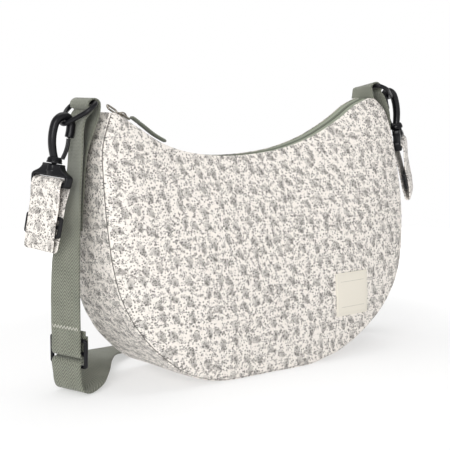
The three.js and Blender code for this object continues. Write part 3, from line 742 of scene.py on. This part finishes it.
def makeStrap(name, frames):  # a flat cord, sewn or held at both ends
    size = webbingSize
    section = stripSection(size["width"], size["thick"], size["flat"], size["bend"])
    band = sweepPart(frames, section, wavered)
    strap = makeObject(name + "_webbing", [band], sageWeb, "bag", [name], sharp=70)
    route = [place * mm for place, *_ in frames]
    length = lengthsOf(route)[-1]
    tuple(route[0])
    [tuple(place) for place in route]
    print(strap.name, "length, mm:", round(length / mm))


leftFrames = webbingFrames(leftRows + throughSlider(sewnEnd))
longFrames = webbingFrames(throughSlider(wovenEnd) + backRows)
makeStrap("strap_left", leftFrames)
makeStrap("strap_long", longFrames)


# round rods, lathed collars and plates with rounded edges
def tubePart(path, radiusAt, sides=16, closed=False, flat=1.0, wide=Vector((0, 1, 0))):
    count = len(path)
    turns = [2 * math.pi * k / sides for k in range(sides)]
    grid, uv, arc = [], [], 0.0
    for i, point in enumerate(path):
        ahead = path[(i + 1) % count] if closed else path[min(i + 1, count - 1)]
        behind = path[i - 1] if closed else path[max(i - 1, 0)]
        along = (ahead - behind).normalized()
        a = (wide - along * wide.dot(along)).normalized()
        b = along.cross(a) * flat
        r = radiusAt(i / (count if closed else count - 1))
        grid.append([point + a * (r * math.cos(turn)) + b * (r * math.sin(turn)) for turn in turns])
        uv.append([(arc, k) for k in range(sides)])
        arc += (ahead - point).length
    return ringPart(grid, uv) if closed else gridPart(grid, uv)


def level(radius):  # the same radius all along a rod
    return lambda share: radius


def domed(radius, bend):  # radius along a rod that closes over its ends
    smallest = 0.04

    def at(share):
        edge = min(min(share, 1 - share) / bend, 1)
        return radius * math.sqrt(max(1 - (1 - edge) ** 2, smallest ** 2))

    return at


seamShadowLook = {"steps": 300, "radius": 0.5, "proud": 0.5, "endGap": 0.004, "sides": 8}


def makeSeamShadow(name, panel, look):  # a thin dark line laid in the groove between panel and gusset: painted shade that stands in for the shadow in the seam's crease
    path = []
    for i in range(look["steps"] + 1):
        share = look["endGap"] + (1 - 2 * look["endGap"]) * i / look["steps"]
        outward = Vector((0, -panel["side"], 0)) - inwardAt(outlineTrack, share)
        spot = panelFace(share, 0, panel) + outward.normalized() * look["proud"]
        spot.z = max(spot.z, look["radius"])
        path.append(spot)
    line = tubePart(path, level(look["radius"]), look["sides"])
    makeObject("seam_shadow_line_" + name, [line], seamShade, "bag", [])


for name, panel in panels.items():
    makeSeamShadow(name, panel, seamShadowLook)
print("seams made")


def lathePart(profile, sides=28):
    turns = [2 * math.pi * k / sides for k in range(sides)]
    grid = [[Vector((r * math.cos(turn), r * math.sin(turn), z)) for turn in turns] for r, z in profile]
    return gridPart(grid, [[(k, i) for k in range(sides)] for i in range(len(profile))])


def roundedBox(width, height, corner, steps=6, at=(0, 0)):
    points = []
    for k, (sx, sy) in enumerate(((1, 1), (-1, 1), (-1, -1), (1, -1))):
        for i in range(steps + 1):
            angle = math.pi / 2 * (k + i / steps)
            points.append(Vector((at[0] + sx * (width / 2 - corner) + corner * math.cos(angle),
                                  at[1] + sy * (height / 2 - corner) + corner * math.sin(angle))))
    return points


def inset(loop, distance):  # moves an outline toward its left-hand side
    out = []
    for i, point in enumerate(loop):
        edge = loop[(i + 1) % len(loop)] - loop[i - 1]
        edge = edge.normalized() if edge.length > 1e-9 else Vector((1, 0))
        out.append(point + Vector((-edge.y, edge.x)) * distance)
    return out


edgeSteps = [(0, 1), (0.13, 0.5), (0.5, 0.13), (1, 0)]  # depth and inset of a rounded edge, in bevels


def platePart(outer, holes, thick, bevel):  # outline in (y, z), thickness along x
    layers = [(bevel * deep - thick / 2, bevel * cut) for deep, cut in edgeSteps]
    layers += [(-x, cut) for x, cut in reversed(layers)]
    points, faces, ends = [], [], [[], []]
    for loop in [outer] + [list(reversed(hole)) for hole in holes]:
        start, n = len(points), len(loop)
        wall = [[Vector((x, p.x, p.y)) for p in inset(loop, cut)] for x, cut in layers]
        added, sides, _ = gridPart(wall, wall, capEnds=False)  # uv places are given at the end
        points += added
        faces += [tuple(start + k for k in face) for face in sides]
        ends[0].append([start + j for j in range(n)])
        ends[1].append([len(points) - n + j for j in range(n)])
    for facing, end in zip((-1, 1), ends):
        order = [k for loop in end for k in loop]
        flatLoops = [[Vector((points[k].y, points[k].z, 0)) for k in loop] for loop in end]
        for triangle in tessellate_polygon(flatLoops):
            picked = tuple(order[k] for k in triangle)
            a, b, c = (points[k] for k in picked)
            faces.append(picked if (b - a).cross(c - a).x * facing > 0 else tuple(reversed(picked)))
    return points, faces, [(p.y, p.z) for p in points]


def makePlastic(node, parts, body, sharp=42):
    makeObject(node + "_plastic", parts, blackPlastic, body, [node], sharp)


sliderLook = {"bar": 1.6, "corner": 3.0, "slotCorner": 1.0, "bevel": 0.7}


def sliderPart(spec, look):  # three-bar slider: width along y, thickness along x
    pitch, bar = spec["pitch"], look["bar"]
    slots = [roundedBox(2 * spec["half"], pitch - 2 * bar, look["slotCorner"], 4, (0, middle))
             for middle in (pitch / 2, -pitch / 2)]
    frameLine = roundedBox(2 * (spec["half"] + spec["side"]), 2 * (pitch + bar), look["corner"])
    return platePart(frameLine, slots, spec["thick"], look["bevel"])


strapSliderPlace = Matrix.Translation(strapSlider["place"]) @ turned(strapSlider["turn"] - 90, "Z")
makePlastic("strap_slider", [moved(sliderPart(strapSlider, sliderLook), strapSliderPlace)], "bag", sharp=50)
print("strap slider made")


def roundedLoop(corners, ease, straight=6, bend=7):  # closed path with its corners eased
    path = []
    for i, corner in enumerate(corners):
        before, after = corners[i - 1], corners[(i + 1) % len(corners)]
        start = corner + (before - corner).normalized() * ease
        end = corner + (after - corner).normalized() * ease
        for k in range(bend + 1):
            t = k / bend
            path.append(start * (1 - t) ** 2 + corner * 2 * t * (1 - t) + end * t * t)
        stop = after + (corner - after).normalized() * ease
        path += [end.lerp(stop, k / straight) for k in range(1, straight)]
    return path


def bezier(control, steps):
    a, b, c, d = (Vector(point) for point in control)
    return [a * (1 - t) ** 3 + b * 3 * t * (1 - t) ** 2 + c * 3 * t * t * (1 - t) + d * t ** 3
            for t in (k / steps for k in range(steps + 1))]


# each corner's hardware: where it hangs, which way it turns, and how its loop's cloth is cut
rigs = {
    "left": {"place": (-183.6, 5, 264.9), "out": 174, "tilt": 0, "dip": 40, "yaw": 0, "lean": 11,
             "turn": 18, "cutFrom": 3000, "seed": 61},
    "right": {"place": (171.9, 3, 275.6), "out": -12, "tilt": -9, "dip": 20, "yaw": 12, "lean": 17,
              "turn": -52, "cutFrom": 3300, "seed": 67},
}
ringLook = {"half": 22.6, "straight": 11.0, "reach": 29.0, "nose": 5.0, "ease": 4.5, "wire": 2.2,
            "sides": 18}


def makeRing(node, dip, place, look):
    half, straight, reach, nose = (look[k] for k in ("half", "straight", "reach", "nose"))
    corners = [(0, -half), (straight, -half), (reach, -nose), (reach, nose), (straight, half), (0, half)]
    path = roundedLoop([dip @ Vector((x, y, 0)) for x, y in corners], look["ease"])
    up = dip @ Vector((0, 0, 1))
    ring = tubePart(path, level(look["wire"]), look["sides"], closed=True, wide=up)
    makePlastic(node, [moved(ring, place)], "bag")


# hooks, from the side: (out, up) from the place where the ring sits
hookLook = {"wide": 4.6, "thick": 3.9, "seat": 1.1, "endRound": 0.022, "taper": 0.14, "stemOut": 3.0,
            "sides": 24}
hookPath = [(-7.2, -11), (-7.6, -4), (-6.5, 3.4), (-2, 7.6), (3.2, 7), (7.5, 2.4), (9, -6), (8.4, -16),
            (6, -25), (3, -32)]
collarProfile = [(0.4, -29.2), (4.6, -29.4), (5.8, -30.0), (6.5, -31.2), (6.9, -32.6), (6.55, -32.9),
                 (6.55, -33.2), (7.1, -33.5), (7.2, -34.4), (6.9, -35.0), (2.4, -35.1), (2.2, -35.6),
                 (2.2, -42.6), (1.8, -43.0)]
onStem = Matrix.Translation((hookLook["stemOut"], 0, 0))


def makeHook(node, place, look):
    nose = domed(look["wide"], look["endRound"])

    def radiusAt(share):  # rounded at the nose, and a little thinner toward the collar
        return nose(min(share, 0.5)) * (1 - look["taper"] * share ** 3)

    path = curveThrough([(x, 0, z) for x, z in hookPath], 7)
    rod = tubePart(path, radiusAt, look["sides"], flat=look["thick"] / look["wide"])
    makePlastic(node, [moved(rod, place), moved(lathePart(collarProfile), place @ onStem)], "bag")


gateLook = {"width": 6.4, "thick": 2.2, "flat": 7, "bend": 6, "steps": 24}
gatePath = [(-4.2, -30.4), (-6.2, -24), (-7.2, -18), (-7.1, -11.2)]


def makeGate(node, place, body, look):
    tongue = Track(curveThrough([(x, 0, z) for x, z in gatePath], 10))
    section = stripSection(look["width"], look["thick"], look["flat"], look["bend"])
    gate = sweepPart(framesAlong(tongue.spread(look["steps"]), straightAcross), section)
    makePlastic(node, [moved(gate, place)], body)


# slotted base with a round boss: control points (out, up) of its shoulder and its foot
baseLook = {
    "shoulder": [(11, -35.5), (14, -44.5), (24, -42), (24, -48)], "shoulderSteps": 14,
    "foot": [(23.4, -52.8), (23, -55), (22, -56), (19.5, -56)], "footSteps": 6,
    "thick": 8.0, "bevel": 1.5, "slotTop": -47.0, "slotBottom": -51.5, "slotHalf": 20.0, "slotCorner": 1.4,
}
bossProfile = [(0.4, -35.6), (4.4, -35.6), (5.4, -36.5), (5.6, -37.4), (5.6, -40.8), (6.1, -41.4),
               (6.1, -42.8), (5.5, -43.4), (5.3, -45.2), (4.5, -46.2), (0.4, -46.3)]


def makeBase(node, place, body, look):
    side = bezier(look["shoulder"], look["shoulderSteps"]) + bezier(look["foot"], look["footSteps"])
    outline = [Vector((-p.x, p.y)) for p in side] + list(reversed(side))
    tall, middle = look["slotTop"] - look["slotBottom"], (look["slotTop"] + look["slotBottom"]) / 2
    slot = roundedBox(2 * look["slotHalf"], tall, look["slotCorner"], 4, (0, middle))
    plate = platePart(outline, [slot], look["thick"], look["bevel"])
    makePlastic(node, [moved(plate, place), moved(lathePart(bossProfile), place)], body, sharp=50)


loopSlider = {"out": 0.9, "up": -91.0, "pitch": 8.0, "half": 20.2, "side": 3.2, "thick": 3.0}
loopLook = {
    "top": -47.4, "bottom": -114.0, "topHalf": 6.6, "bottomHalf": 3.6, "thick": 1.7, "width": 38.0,
    "arcSteps": 14, "step": 0.75, "flat": 19, "bend": 4, "heldTop": 12.0, "heldFade": 14.0,
    "soft": 0.5, "softWide": 22.0, "softTall": 18.0, "pinch": 0.012, "pinchTall": 9.0,
    "press": 0.35, "pressWide": 8.636, "tuck": 1.3, "tuckTall": 0.9,
}
loopSide = [(-58, 6.6), (-66, 5.4), (-74, 4.6), (-100, 4.4), (-108, 3.6)]  # up, and half its depth there


def loopPath(look):  # middle line of the band, as evenly spaced points
    cut, steps = look["thick"] / 2, look["arcSteps"]

    def arc(half, middle, start):
        turns = [math.pi * (start + k / steps) for k in range(steps + 1)]
        return [((half - cut) * math.cos(turn), 0, middle + (half - cut) * math.sin(turn)) for turn in turns]

    top = arc(look["topHalf"], look["top"] - look["topHalf"], 0)
    bottom = arc(look["bottomHalf"], look["bottom"] + look["bottomHalf"], 1)
    left = [(cut - half, 0, up) for up, half in loopSide]
    right = [(half - cut, 0, up) for up, half in reversed(loopSide)]
    track = Track(curveThrough(top + left + bottom + right + top[:1], 8))
    return track.spread(int(track.total / look["step"]))[:-1]


def loopPart(path, rig, look):  # printed band round its closed path, pinched a little at the slider
    section = stripSection(look["width"], look["thick"], look["flat"], look["bend"])
    lengths = lengthsOf(path)
    grid, uv = [], []
    for i, point in enumerate(path):
        along = (path[(i + 1) % len(path)] - path[i - 1]).normalized()
        normal = along.cross(Vector((0, 1, 0))).normalized()
        front = point.x > 0
        near = hump(point.z, loopSlider["up"], look["pinchTall"])
        tuck = look["tuck"] * hump(point.z, loopSlider["up"], look["tuckTall"]) if front else 0
        free = min(1, max(0, (look["top"] - look["heldTop"] - point.z) / look["heldFade"])) * (1 - near)
        row = []
        for a, n in section:
            lift = n * (1 - tuck) if n > 0 else n
            lift += free * look["soft"] * wander(a / look["softWide"], point.z / look["softTall"],
                                                 rig["seed"] + (0 if front else 3))
            if point.x < 0:
                lift -= look["press"] * near * math.cos(a / look["pressWide"])
            row.append(point + Vector((0, a * (1 - look["pinch"] * near), 0)) + normal * lift)
        grid.append(row)
        uv.append([(a + rig["cutFrom"], lengths[i]) for a, n in section])
    return ringPart(grid, uv)


def makeLoop(side, rig, place, body, look):
    path = loopPath(look)
    band = moved(loopPart(path, rig, look), place)
    loop = makeObject("stroller_loop_%s_cloth" % side, [band], sagePrint, body, ["stroller_loop_" + side],
                      sharp=70)
    around = lengthsOf(path + path[:1])[-1]
    print(loop.name, "flat length, mm:", round(around))
    sliderPlace = place @ Matrix.Translation((loopSlider["out"], 0, loopSlider["up"]))
    slider = moved(sliderPart(loopSlider, sliderLook), sliderPlace)
    makePlastic("loop_slider_" + side, [slider], body, sharp=50)


def makeCorner(side, rig):
    dip = turned(rig["dip"], "Y")
    ringPlace = Matrix.Translation(rig["place"]) @ turned(rig["out"], "Z") @ turned(rig["tilt"], "X")
    seat = ringPlace @ dip @ Vector((ringLook["reach"], 0, 0)) - Vector((0, 0, hookLook["seat"]))
    hookPlace = Matrix.Translation(seat) @ turned(rig["out"] + rig["yaw"], "Z") @ turned(-rig["lean"], "Y")
    swivelPlace = hookPlace @ onStem @ turned(rig["turn"], "Z")
    swivel = "swivel_" + side
    makeRing("ring_" + side, dip, ringPlace, ringLook)
    makeHook("hook_" + side, hookPlace, hookLook)
    makeGate("hook_gate_" + side, hookPlace, "gate_" + side, gateLook)
    makeBase("swivel_base_" + side, swivelPlace, swivel, baseLook)
    makeLoop(side, rig, swivelPlace, swivel, loopLook)


for side, rig in rigs.items():
    makeCorner(side, rig)
print("corner hardware and stroller loops made")


# zip: woven tapes tucked under the rolled edges, a row of teeth, slider, wire ring and soft pull
zipLook = {
    "columns": 240, "near": 2.5, "far": 10.6, "across": 8, "sink": 0.6, "hollow": 0.5, "thick": 1.2,
    "waver": 0.18, "waverLong": 12.0, "waverWide": 6.0,
    "toothStep": 1.55, "toothHalf": 2.3, "toothRadius": 0.72, "toothShift": 0.45, "toothDeep": 0.9,
    "toothArch": 0.55, "toothRound": 0.22, "toothSteps": 6, "toothSides": 7,
    "cordDeep": 1.3, "cordRadius": 1.9, "cordFlat": 0.35, "cordSides": 8,
}


def zipDown(share):
    down = inwardAt(zipTrack, share) * -1
    return down if down.z < 0 else down * -1


def makeTape(name, side, look):
    def cellAt(i, k):
        share, t = i / look["columns"], k / look["across"]
        base, down = zipTrack.at(share), zipDown(share)
        arc, y = share * zipTrack.total, look["near"] + (look["far"] - look["near"]) * t
        dip = look["sink"] + look["hollow"] * math.sin(math.pi * t) ** 2
        dip += look["waver"] * wander(arc / look["waverLong"], y / look["waverWide"], 71 + side)
        top = Vector((base.x, side * y, base.z)) + down * dip
        return top, top + down * look["thick"], (arc, side * y)

    tape = shellPart(look["columns"], look["across"], cellAt)
    makeObject(name + "_cloth", [tape], zipWoven, "bag", [name], sharp=60)


def toothPart(share, shift, look):  # one arched tooth across the tapes
    base, down = zipTrack.at(share), zipDown(share)
    half, steps = look["toothHalf"], look["toothSteps"]
    start, end = (Vector((base.x, shift + out, base.z)) + down * look["toothDeep"] for out in (-half, half))
    path = []
    for k in range(steps + 1):
        path.append(start.lerp(end, k / steps) - down * (look["toothArch"] * math.sin(math.pi * k / steps)))
    return tubePart(path, domed(look["toothRadius"], look["toothRound"]), look["toothSides"], wide=down)


def makeTeeth(look):
    count = int(zipTrack.total / look["toothStep"])
    shift = look["toothShift"]
    parts = [toothPart(i / count, shift if i % 2 else -shift, look) for i in range(1, count)]
    shares = [i / look["columns"] for i in range(look["columns"] + 1)]
    cord = [zipTrack.at(share) + zipDown(share) * look["cordDeep"] for share in shares]  # filler cord
    parts.append(tubePart(cord, level(look["cordRadius"]), look["cordSides"], flat=look["cordFlat"]))
    makeObject("zip_coil_teeth", parts, zipTeeth, "bag", ["zip_coil"], sharp=70)


makeTape("zip_tape_front", -1, zipLook)
makeTape("zip_tape_back", 1, zipLook)
makeTeeth(zipLook)

zipSlider = {
    "x": -148.0, "length": 13.0, "width": 9.0, "height": 5.0, "lift": 1.0, "tilt": 30.0,
    "wing": [(0.55, -1), (0.95, -0.45), (1, 0.2), (0.8, 0.9), (0.45, 1)],  # shares of half width, half length
    "plates": [-1.75, 1.35], "plateThick": 1.3, "plateBevel": 0.45,
    "neckWide": 3.0, "neckLong": 5.0, "neckCorner": 1.0, "neckThick": 2.6, "neckBevel": 0.3,
    "neckBack": 0.55, "neckUp": -0.2,
    "archBack": 0.75, "archLong": 1.35, "archFoot": 1.6, "archRise": 2.6, "archPower": 0.7, "archSteps": 16,
    "archRadius": 0.95, "archFlat": 0.7, "archSides": 10,
}
zipRing = {"lift": 0.6, "half": 6.0, "rise": 3.2, "ease": 2.88, "wire": 0.9, "roll": 40.0, "gap": 0.4,
           "sides": 14}
seatSteps = 42  # the seat is looked for at the same steps as in the solids
sliderSeat = min(zipTrack.spread(seatSteps), key=lambda p: abs(p.x - zipSlider["x"]))
seatTop = sliderSeat.z + zipSlider["lift"] + zipSlider["height"] / 2
zipSliderPlace = Matrix.Translation((sliderSeat.x, 0, seatTop)) @ turned(zipSlider["tilt"], "Y")


def makeZipSlider(look):
    half, wide = look["length"] / 2, look["width"] / 2
    right = [(wide * x, half * y, 0) for x, y in look["wing"]]
    left = [(-x, y, 0) for x, y, _ in right]
    outline = [p.xy for p in curveThrough(left[:1] + right + left[:0:-1] + left[:1], 5)[:-1]]

    def laid(part, x, z):  # plates lie with their thickness along z
        return moved(part, zipSliderPlace @ Matrix.Translation((x, 0, z)) @ turned(90, "Y"))

    plate = platePart(outline, [], look["plateThick"], look["plateBevel"])
    parts = [laid(plate, 0, z) for z in look["plates"]]
    neckLine = roundedBox(look["neckWide"], look["neckLong"], look["neckCorner"], 4)
    neck = platePart(neckLine, [], look["neckThick"], look["neckBevel"])
    parts.append(laid(neck, -half * look["neckBack"], look["neckUp"]))
    arch = []
    for k in range(look["archSteps"] + 1):
        t = k / look["archSteps"]
        rise = look["archRise"] * math.sin(math.pi * t) ** look["archPower"]
        arch.append(Vector((half * (look["archLong"] * t - look["archBack"]), 0, look["archFoot"] + rise)))
    rod = tubePart(arch, level(look["archRadius"]), look["archSides"], flat=look["archFlat"])
    parts.append(moved(rod, zipSliderPlace))
    makeObject("zip_slider_metal", parts, darkNickel, "bag", ["zip_slider"], sharp=50)


def makeZipRing(look):
    half, rise, wire = look["half"], look["rise"], look["wire"]
    corners = [Vector((x, y, 0)) for x, y in ((-half, -rise), (half, -rise), (half, rise), (-half, rise))]
    path = roundedLoop(corners, look["ease"])
    loop = tubePart(path, level(wire), look["sides"], closed=True, wide=Vector((0, 0, 1)))
    away = -zipSlider["length"] / 2 - half - wire - look["gap"]
    place = zipSliderPlace @ Matrix.Translation((away, 0, look["lift"])) @ turned(look["roll"], "X")
    makeObject("zip_ring_metal", [moved(loop, place)], darkNickel, "bag", ["zip_ring"])


makeZipSlider(zipSlider)
makeZipRing(zipRing)

stitchShape = {"steps": 6, "rise": 0.9, "sink": 0.35, "round": 0.3, "sides": 6}  # rise, sink: in thread sizes


def stitchPart(start, end, out, size):  # one thread stitch that dips at both ends
    shape, path = stitchShape, []
    for k in range(shape["steps"] + 1):
        t = k / shape["steps"]
        lift = shape["rise"] * math.sin(math.pi * t) - shape["sink"]
        path.append(start.lerp(end, t) + out * (size * lift))
    wide = (end - start).cross(out).normalized()
    return tubePart(path, domed(size, shape["round"]), shape["sides"], wide=wide)


pullRows = [(-139, -3, 251), (-127, -3.6, 242.6), (-115, -4.2, 234.2), (-102, -4.8, 227.4)]
pullLook = {
    "width": 7.0, "thick": 2.2, "steps": 60, "flat": 9, "bend": 6, "endRound": 3.4, "endNarrow": 0.1,
    "endThin": 0.35, "thinFrom": 1.0, "foldAt": 9.0, "foldLong": 1.2, "foldDeep": 0.25,
    "stitchOut": 2.6, "stitchStep": 3, "stitchLong": 2, "stitchLift": 0.02, "thread": 0.24,
}


def makePull(look):
    path = Track(curveThrough(pullRows)).spread(look["steps"])
    frames = framesAlong(path, straightAcross)
    total = lengthsOf(path)[-1]

    def shapeAt(arc, a, n):  # rounded and thinned at the free end, folded near the ring
        left = total - arc
        curve = 1 - max(0, 1 - left / look["endRound"]) ** 2
        narrow = math.sqrt(max(curve, look["endNarrow"] ** 2))
        thin = look["endThin"] + (1 - look["endThin"]) * min(1, left / look["thinFrom"])
        return a * narrow, n * thin * (1 - look["foldDeep"] * hump(arc, look["foldAt"], look["foldLong"]))

    section = stripSection(look["width"], look["thick"], look["flat"], look["bend"])
    strip = sweepPart(frames, section, shapeAt, under=1)
    makeObject("zip_pull_strip", [strip], pullWoven, "bag", ["zip_pull"], sharp=70)

    def upAt(k):
        return frames[k][1] if frames[k][1].z > 0 else -frames[k][1]

    def spot(k, side):
        point, _, across = frames[k]
        return point + across * side * look["stitchOut"] + upAt(k) * (look["thick"] / 2 + look["stitchLift"])

    step, long = look["stitchStep"], look["stitchLong"]
    threads = [stitchPart(spot(k, side), spot(k + long, side), upAt(k), look["thread"])
               for side in (-1, 1) for k in range(step, look["steps"] - step - 1, step)]
    makeObject("zip_pull_stitches", threads, zipWoven, "bag", [], sharp=70)


makePull(pullLook)
print("zip made")

labelSize = {
    "x": 99.0, "z": 67.0, "width": 46.0, "height": 44.0, "thick": 1.2, "gap": 0.4, "backGap": 0.16,
    "steps": 26, "rowPull": 0.7, "edgeDrop": 0.55, "edgeFade": 0.8, "stitchIn": 2.3, "stitchDrop": 0.22,
    "stitchWide": 0.8, "stitchStep": 3.2, "stitchGap": 0.14, "stitchSunk": 0.16, "thread": 0.26,
}
frontSearch = {"share": 0.66, "v": 0.25, "tries": 24, "close": 1e-3, "nudge": 1e-3, "shareStep": 0.05,
               "vStep": 0.1}


def onFront(x, z, look=frontSearch):  # place of the front panel's face at (x, z), by repeated small steps
    share, v, nudge, front = look["share"], look["v"], look["nudge"], panels["front"]
    for _ in range(look["tries"]):
        here = panelFace(share, v, front)
        dx, dz = x - here.x, z - here.z
        if abs(dx) + abs(dz) < look["close"]:
            break
        a, b = panelFace(share + nudge, v, front) - here, panelFace(share, v + nudge, front) - here
        det = a.x * b.z - b.x * a.z
        share += max(-look["shareStep"], min(look["shareStep"], nudge * (dx * b.z - b.x * dz) / det))
        v += max(-look["vStep"], min(look["vStep"], nudge * (a.x * dz - dx * a.z) / det))
    return panelFace(share, v, front)


def onLabel(u, w, lift):  # u and w from the middle of the patch
    return onFront(labelSize["x"] + u, labelSize["z"] + w) - Vector((0, lift, 0))


def makeLabel(size):
    steps, top = size["steps"], size["gap"] + size["thick"]

    def cellAt(i, j):
        u = size["width"] * (eased(i, steps, size["rowPull"]) - 0.5)
        w = size["height"] * (eased(j, steps, size["rowPull"]) - 0.5)
        rim = min(size["width"] / 2 - abs(u), size["height"] / 2 - abs(w))
        sunk = size["edgeDrop"] * math.exp(-rim / size["edgeFade"])
        sunk += size["stitchDrop"] * hump(rim, size["stitchIn"], size["stitchWide"])
        back = onLabel(u, w, size["backGap"])
        return back - Vector((0, top - sunk - size["backGap"], 0)), back, (u, w)

    makeObject("label_patch_cloth", [shellPart(steps, steps, cellAt)], creamLabel, "bag", ["label_patch"],
               sharp=60)
    a, b = size["width"] / 2 - size["stitchIn"], size["height"] / 2 - size["stitchIn"]
    corners = [(-a, -b), (a, -b), (a, b), (-a, b)]
    threads = []
    for (x0, z0), (x1, z1) in zip(corners, corners[1:] + corners[:1]):
        count = int(math.hypot(x1 - x0, z1 - z0) / size["stitchStep"])
        for k in range(count):
            ends = [onLabel(x0 + (x1 - x0) * t, z0 + (z1 - z0) * t, top - size["stitchSunk"])
                    for t in ((k + size["stitchGap"]) / count, (k + 1 - size["stitchGap"]) / count)]
            threads.append(stitchPart(*ends, Vector((0, -1, 0)), size["thread"]))
    makeObject("label_stitches", threads, labelThread, "bag", [], sharp=70)


makeLabel(labelSize)
print("label made")

sewing = {"height": 62.0, "from": 101, "edge": 2.2, "zigzag": 1.7, "zigzagStep": 1.9, "proud": 0.1,
          "thread": 0.38}


def makeStrapSewing(look):  # pale zigzag across the webbing, above its slider
    outer = leftFrames[look["from"]:]  # past the fold over the ring
    point, normal, across = min(outer, key=lambda place: abs(place[0].z - look["height"]))
    outward = normal if normal.x < 0 else -normal
    along = normal.cross(across).normalized()
    half = webbingSize["width"] / 2 - look["edge"]
    count = int(2 * half / look["zigzagStep"])
    face = point + outward * (webbingSize["thick"] / 2 + look["proud"])
    spots = []
    for k in range(count + 1):
        offset = look["zigzag"] if k % 2 else -look["zigzag"]
        spots.append(face + across * (2 * half * k / count - half) + along * offset)
    threads = [stitchPart(p, q, outward, look["thread"]) for p, q in zip(spots, spots[1:])]
    makeObject("strap_stitches", threads, stitchThread, "bag", [], sharp=70)


makeStrapSewing(sewing)
print("sewing made")


# pale floor, soft studio light and the photo's camera
floorLook = {"radius": 1.15, "sides": 96, "glow": 0.47, "rimGlow": 0.8, "glowFrom": 0.28, "glowTo": 0.7}
floorShine = {"Base Color": (0.52, 0.52, 0.52, 1), "Roughness": 0.9, "Specular IOR Level": 0.1,
              "Emission Strength": 1.0}


def makeStage(look):  # a round floor, so that its rim is lost in the white behind
    floor = bpy.data.meshes.new("floor")
    corners = [cmath.rect(look["radius"], 2 * math.pi * i / look["sides"]) for i in range(look["sides"])]
    floor.from_pydata([(corner.real, corner.imag, 0) for corner in corners], [], [list(range(len(corners)))])
    material, wire, shader = newFinish("pale floor", floorShine)
    x, y, _ = wire.node("ShaderNodeTexCoord", None, None, "Object").parts()
    away = ((x * x + y * y) ** 0.5).smooth(look["glowFrom"], look["glowTo"], look["glow"], look["rimGlow"])
    wire.mix(away, (0, 0, 0, 1), (1, 1, 1, 1)).into(shader.inputs["Emission Color"])
    floor.materials.append(material)
    floorObject = bpy.data.objects.new("floor", floor)
    scene.collection.objects.link(floorObject)


makeStage(floorLook)

studio = {"band": 1.0, "dome": 0.5, "bandTop": 0.08, "domeFrom": 0.3}


def makeWorld(look):  # white round the horizon, a softer dome above
    world = bpy.data.worlds.new("studio")
    scene.world = world
    world.use_nodes = True
    background = world.node_tree.nodes["Background"]
    _, _, height = Wire(world.node_tree).node("ShaderNodeTexCoord", None, None, "Generated").parts()
    rise = height.smooth(look["bandTop"], look["domeFrom"], look["band"], look["dome"])
    rise.into(background.inputs["Strength"])
    background.inputs["Color"].default_value = (1, 1, 1, 1)


makeWorld(studio)

lamps = {
    "key": {"place": (-1.55, -1.3, 0.8), "size": 1.1, "power": 25.5},
    "top": {"place": (0.1, 0.3, 2.0), "size": 1.6, "power": 15.0},
    "front": {"place": (0.6, -2.1, 1.0), "size": 1.2, "power": 1.0},
}
lampAim = Vector((0, 0, 0.1))
for name, lamp in lamps.items():
    light = bpy.data.lights.new(name, "AREA")
    light.shape, light.size, light.energy = "SQUARE", lamp["size"], lamp["power"]
    lightObject = bpy.data.objects.new(name, light)
    lightObject.location = lamp["place"]
    lightObject.rotation_euler = (lampAim - Vector(lamp["place"])).to_track_quat("-Z", "Y").to_euler()
    scene.collection.objects.link(lightObject)

photoView = {"turn": 38.5, "rise": 7.0, "aim": (0, 0, 0.135), "away": 1.208, "right": -0.021, "up": 0.005,
             "lens": 96.0, "sensor": 36.0}


def makeCamera(look):
    turn, rise = math.radians(look["turn"]), math.radians(look["rise"])
    back = Vector((-math.sin(turn) * math.cos(rise), -math.cos(turn) * math.cos(rise), math.sin(rise)))
    right = Vector((math.cos(turn), -math.sin(turn), 0))
    up = back.cross(right)
    data = bpy.data.cameras.new("photo camera")
    data.lens, data.sensor_width = look["lens"], look["sensor"]
    camera = bpy.data.objects.new("photo camera", data)
    place = Vector(look["aim"]) + back * look["away"] + right * look["right"] + up * look["up"]
    camera.matrix_world = Matrix.Translation(place) @ Matrix((right, up, back)).transposed().to_4x4()
    scene.collection.objects.link(camera)
    scene.camera = camera


makeCamera(photoView)
scene.view_settings.view_transform = "Standard"
print("stage and camera made")
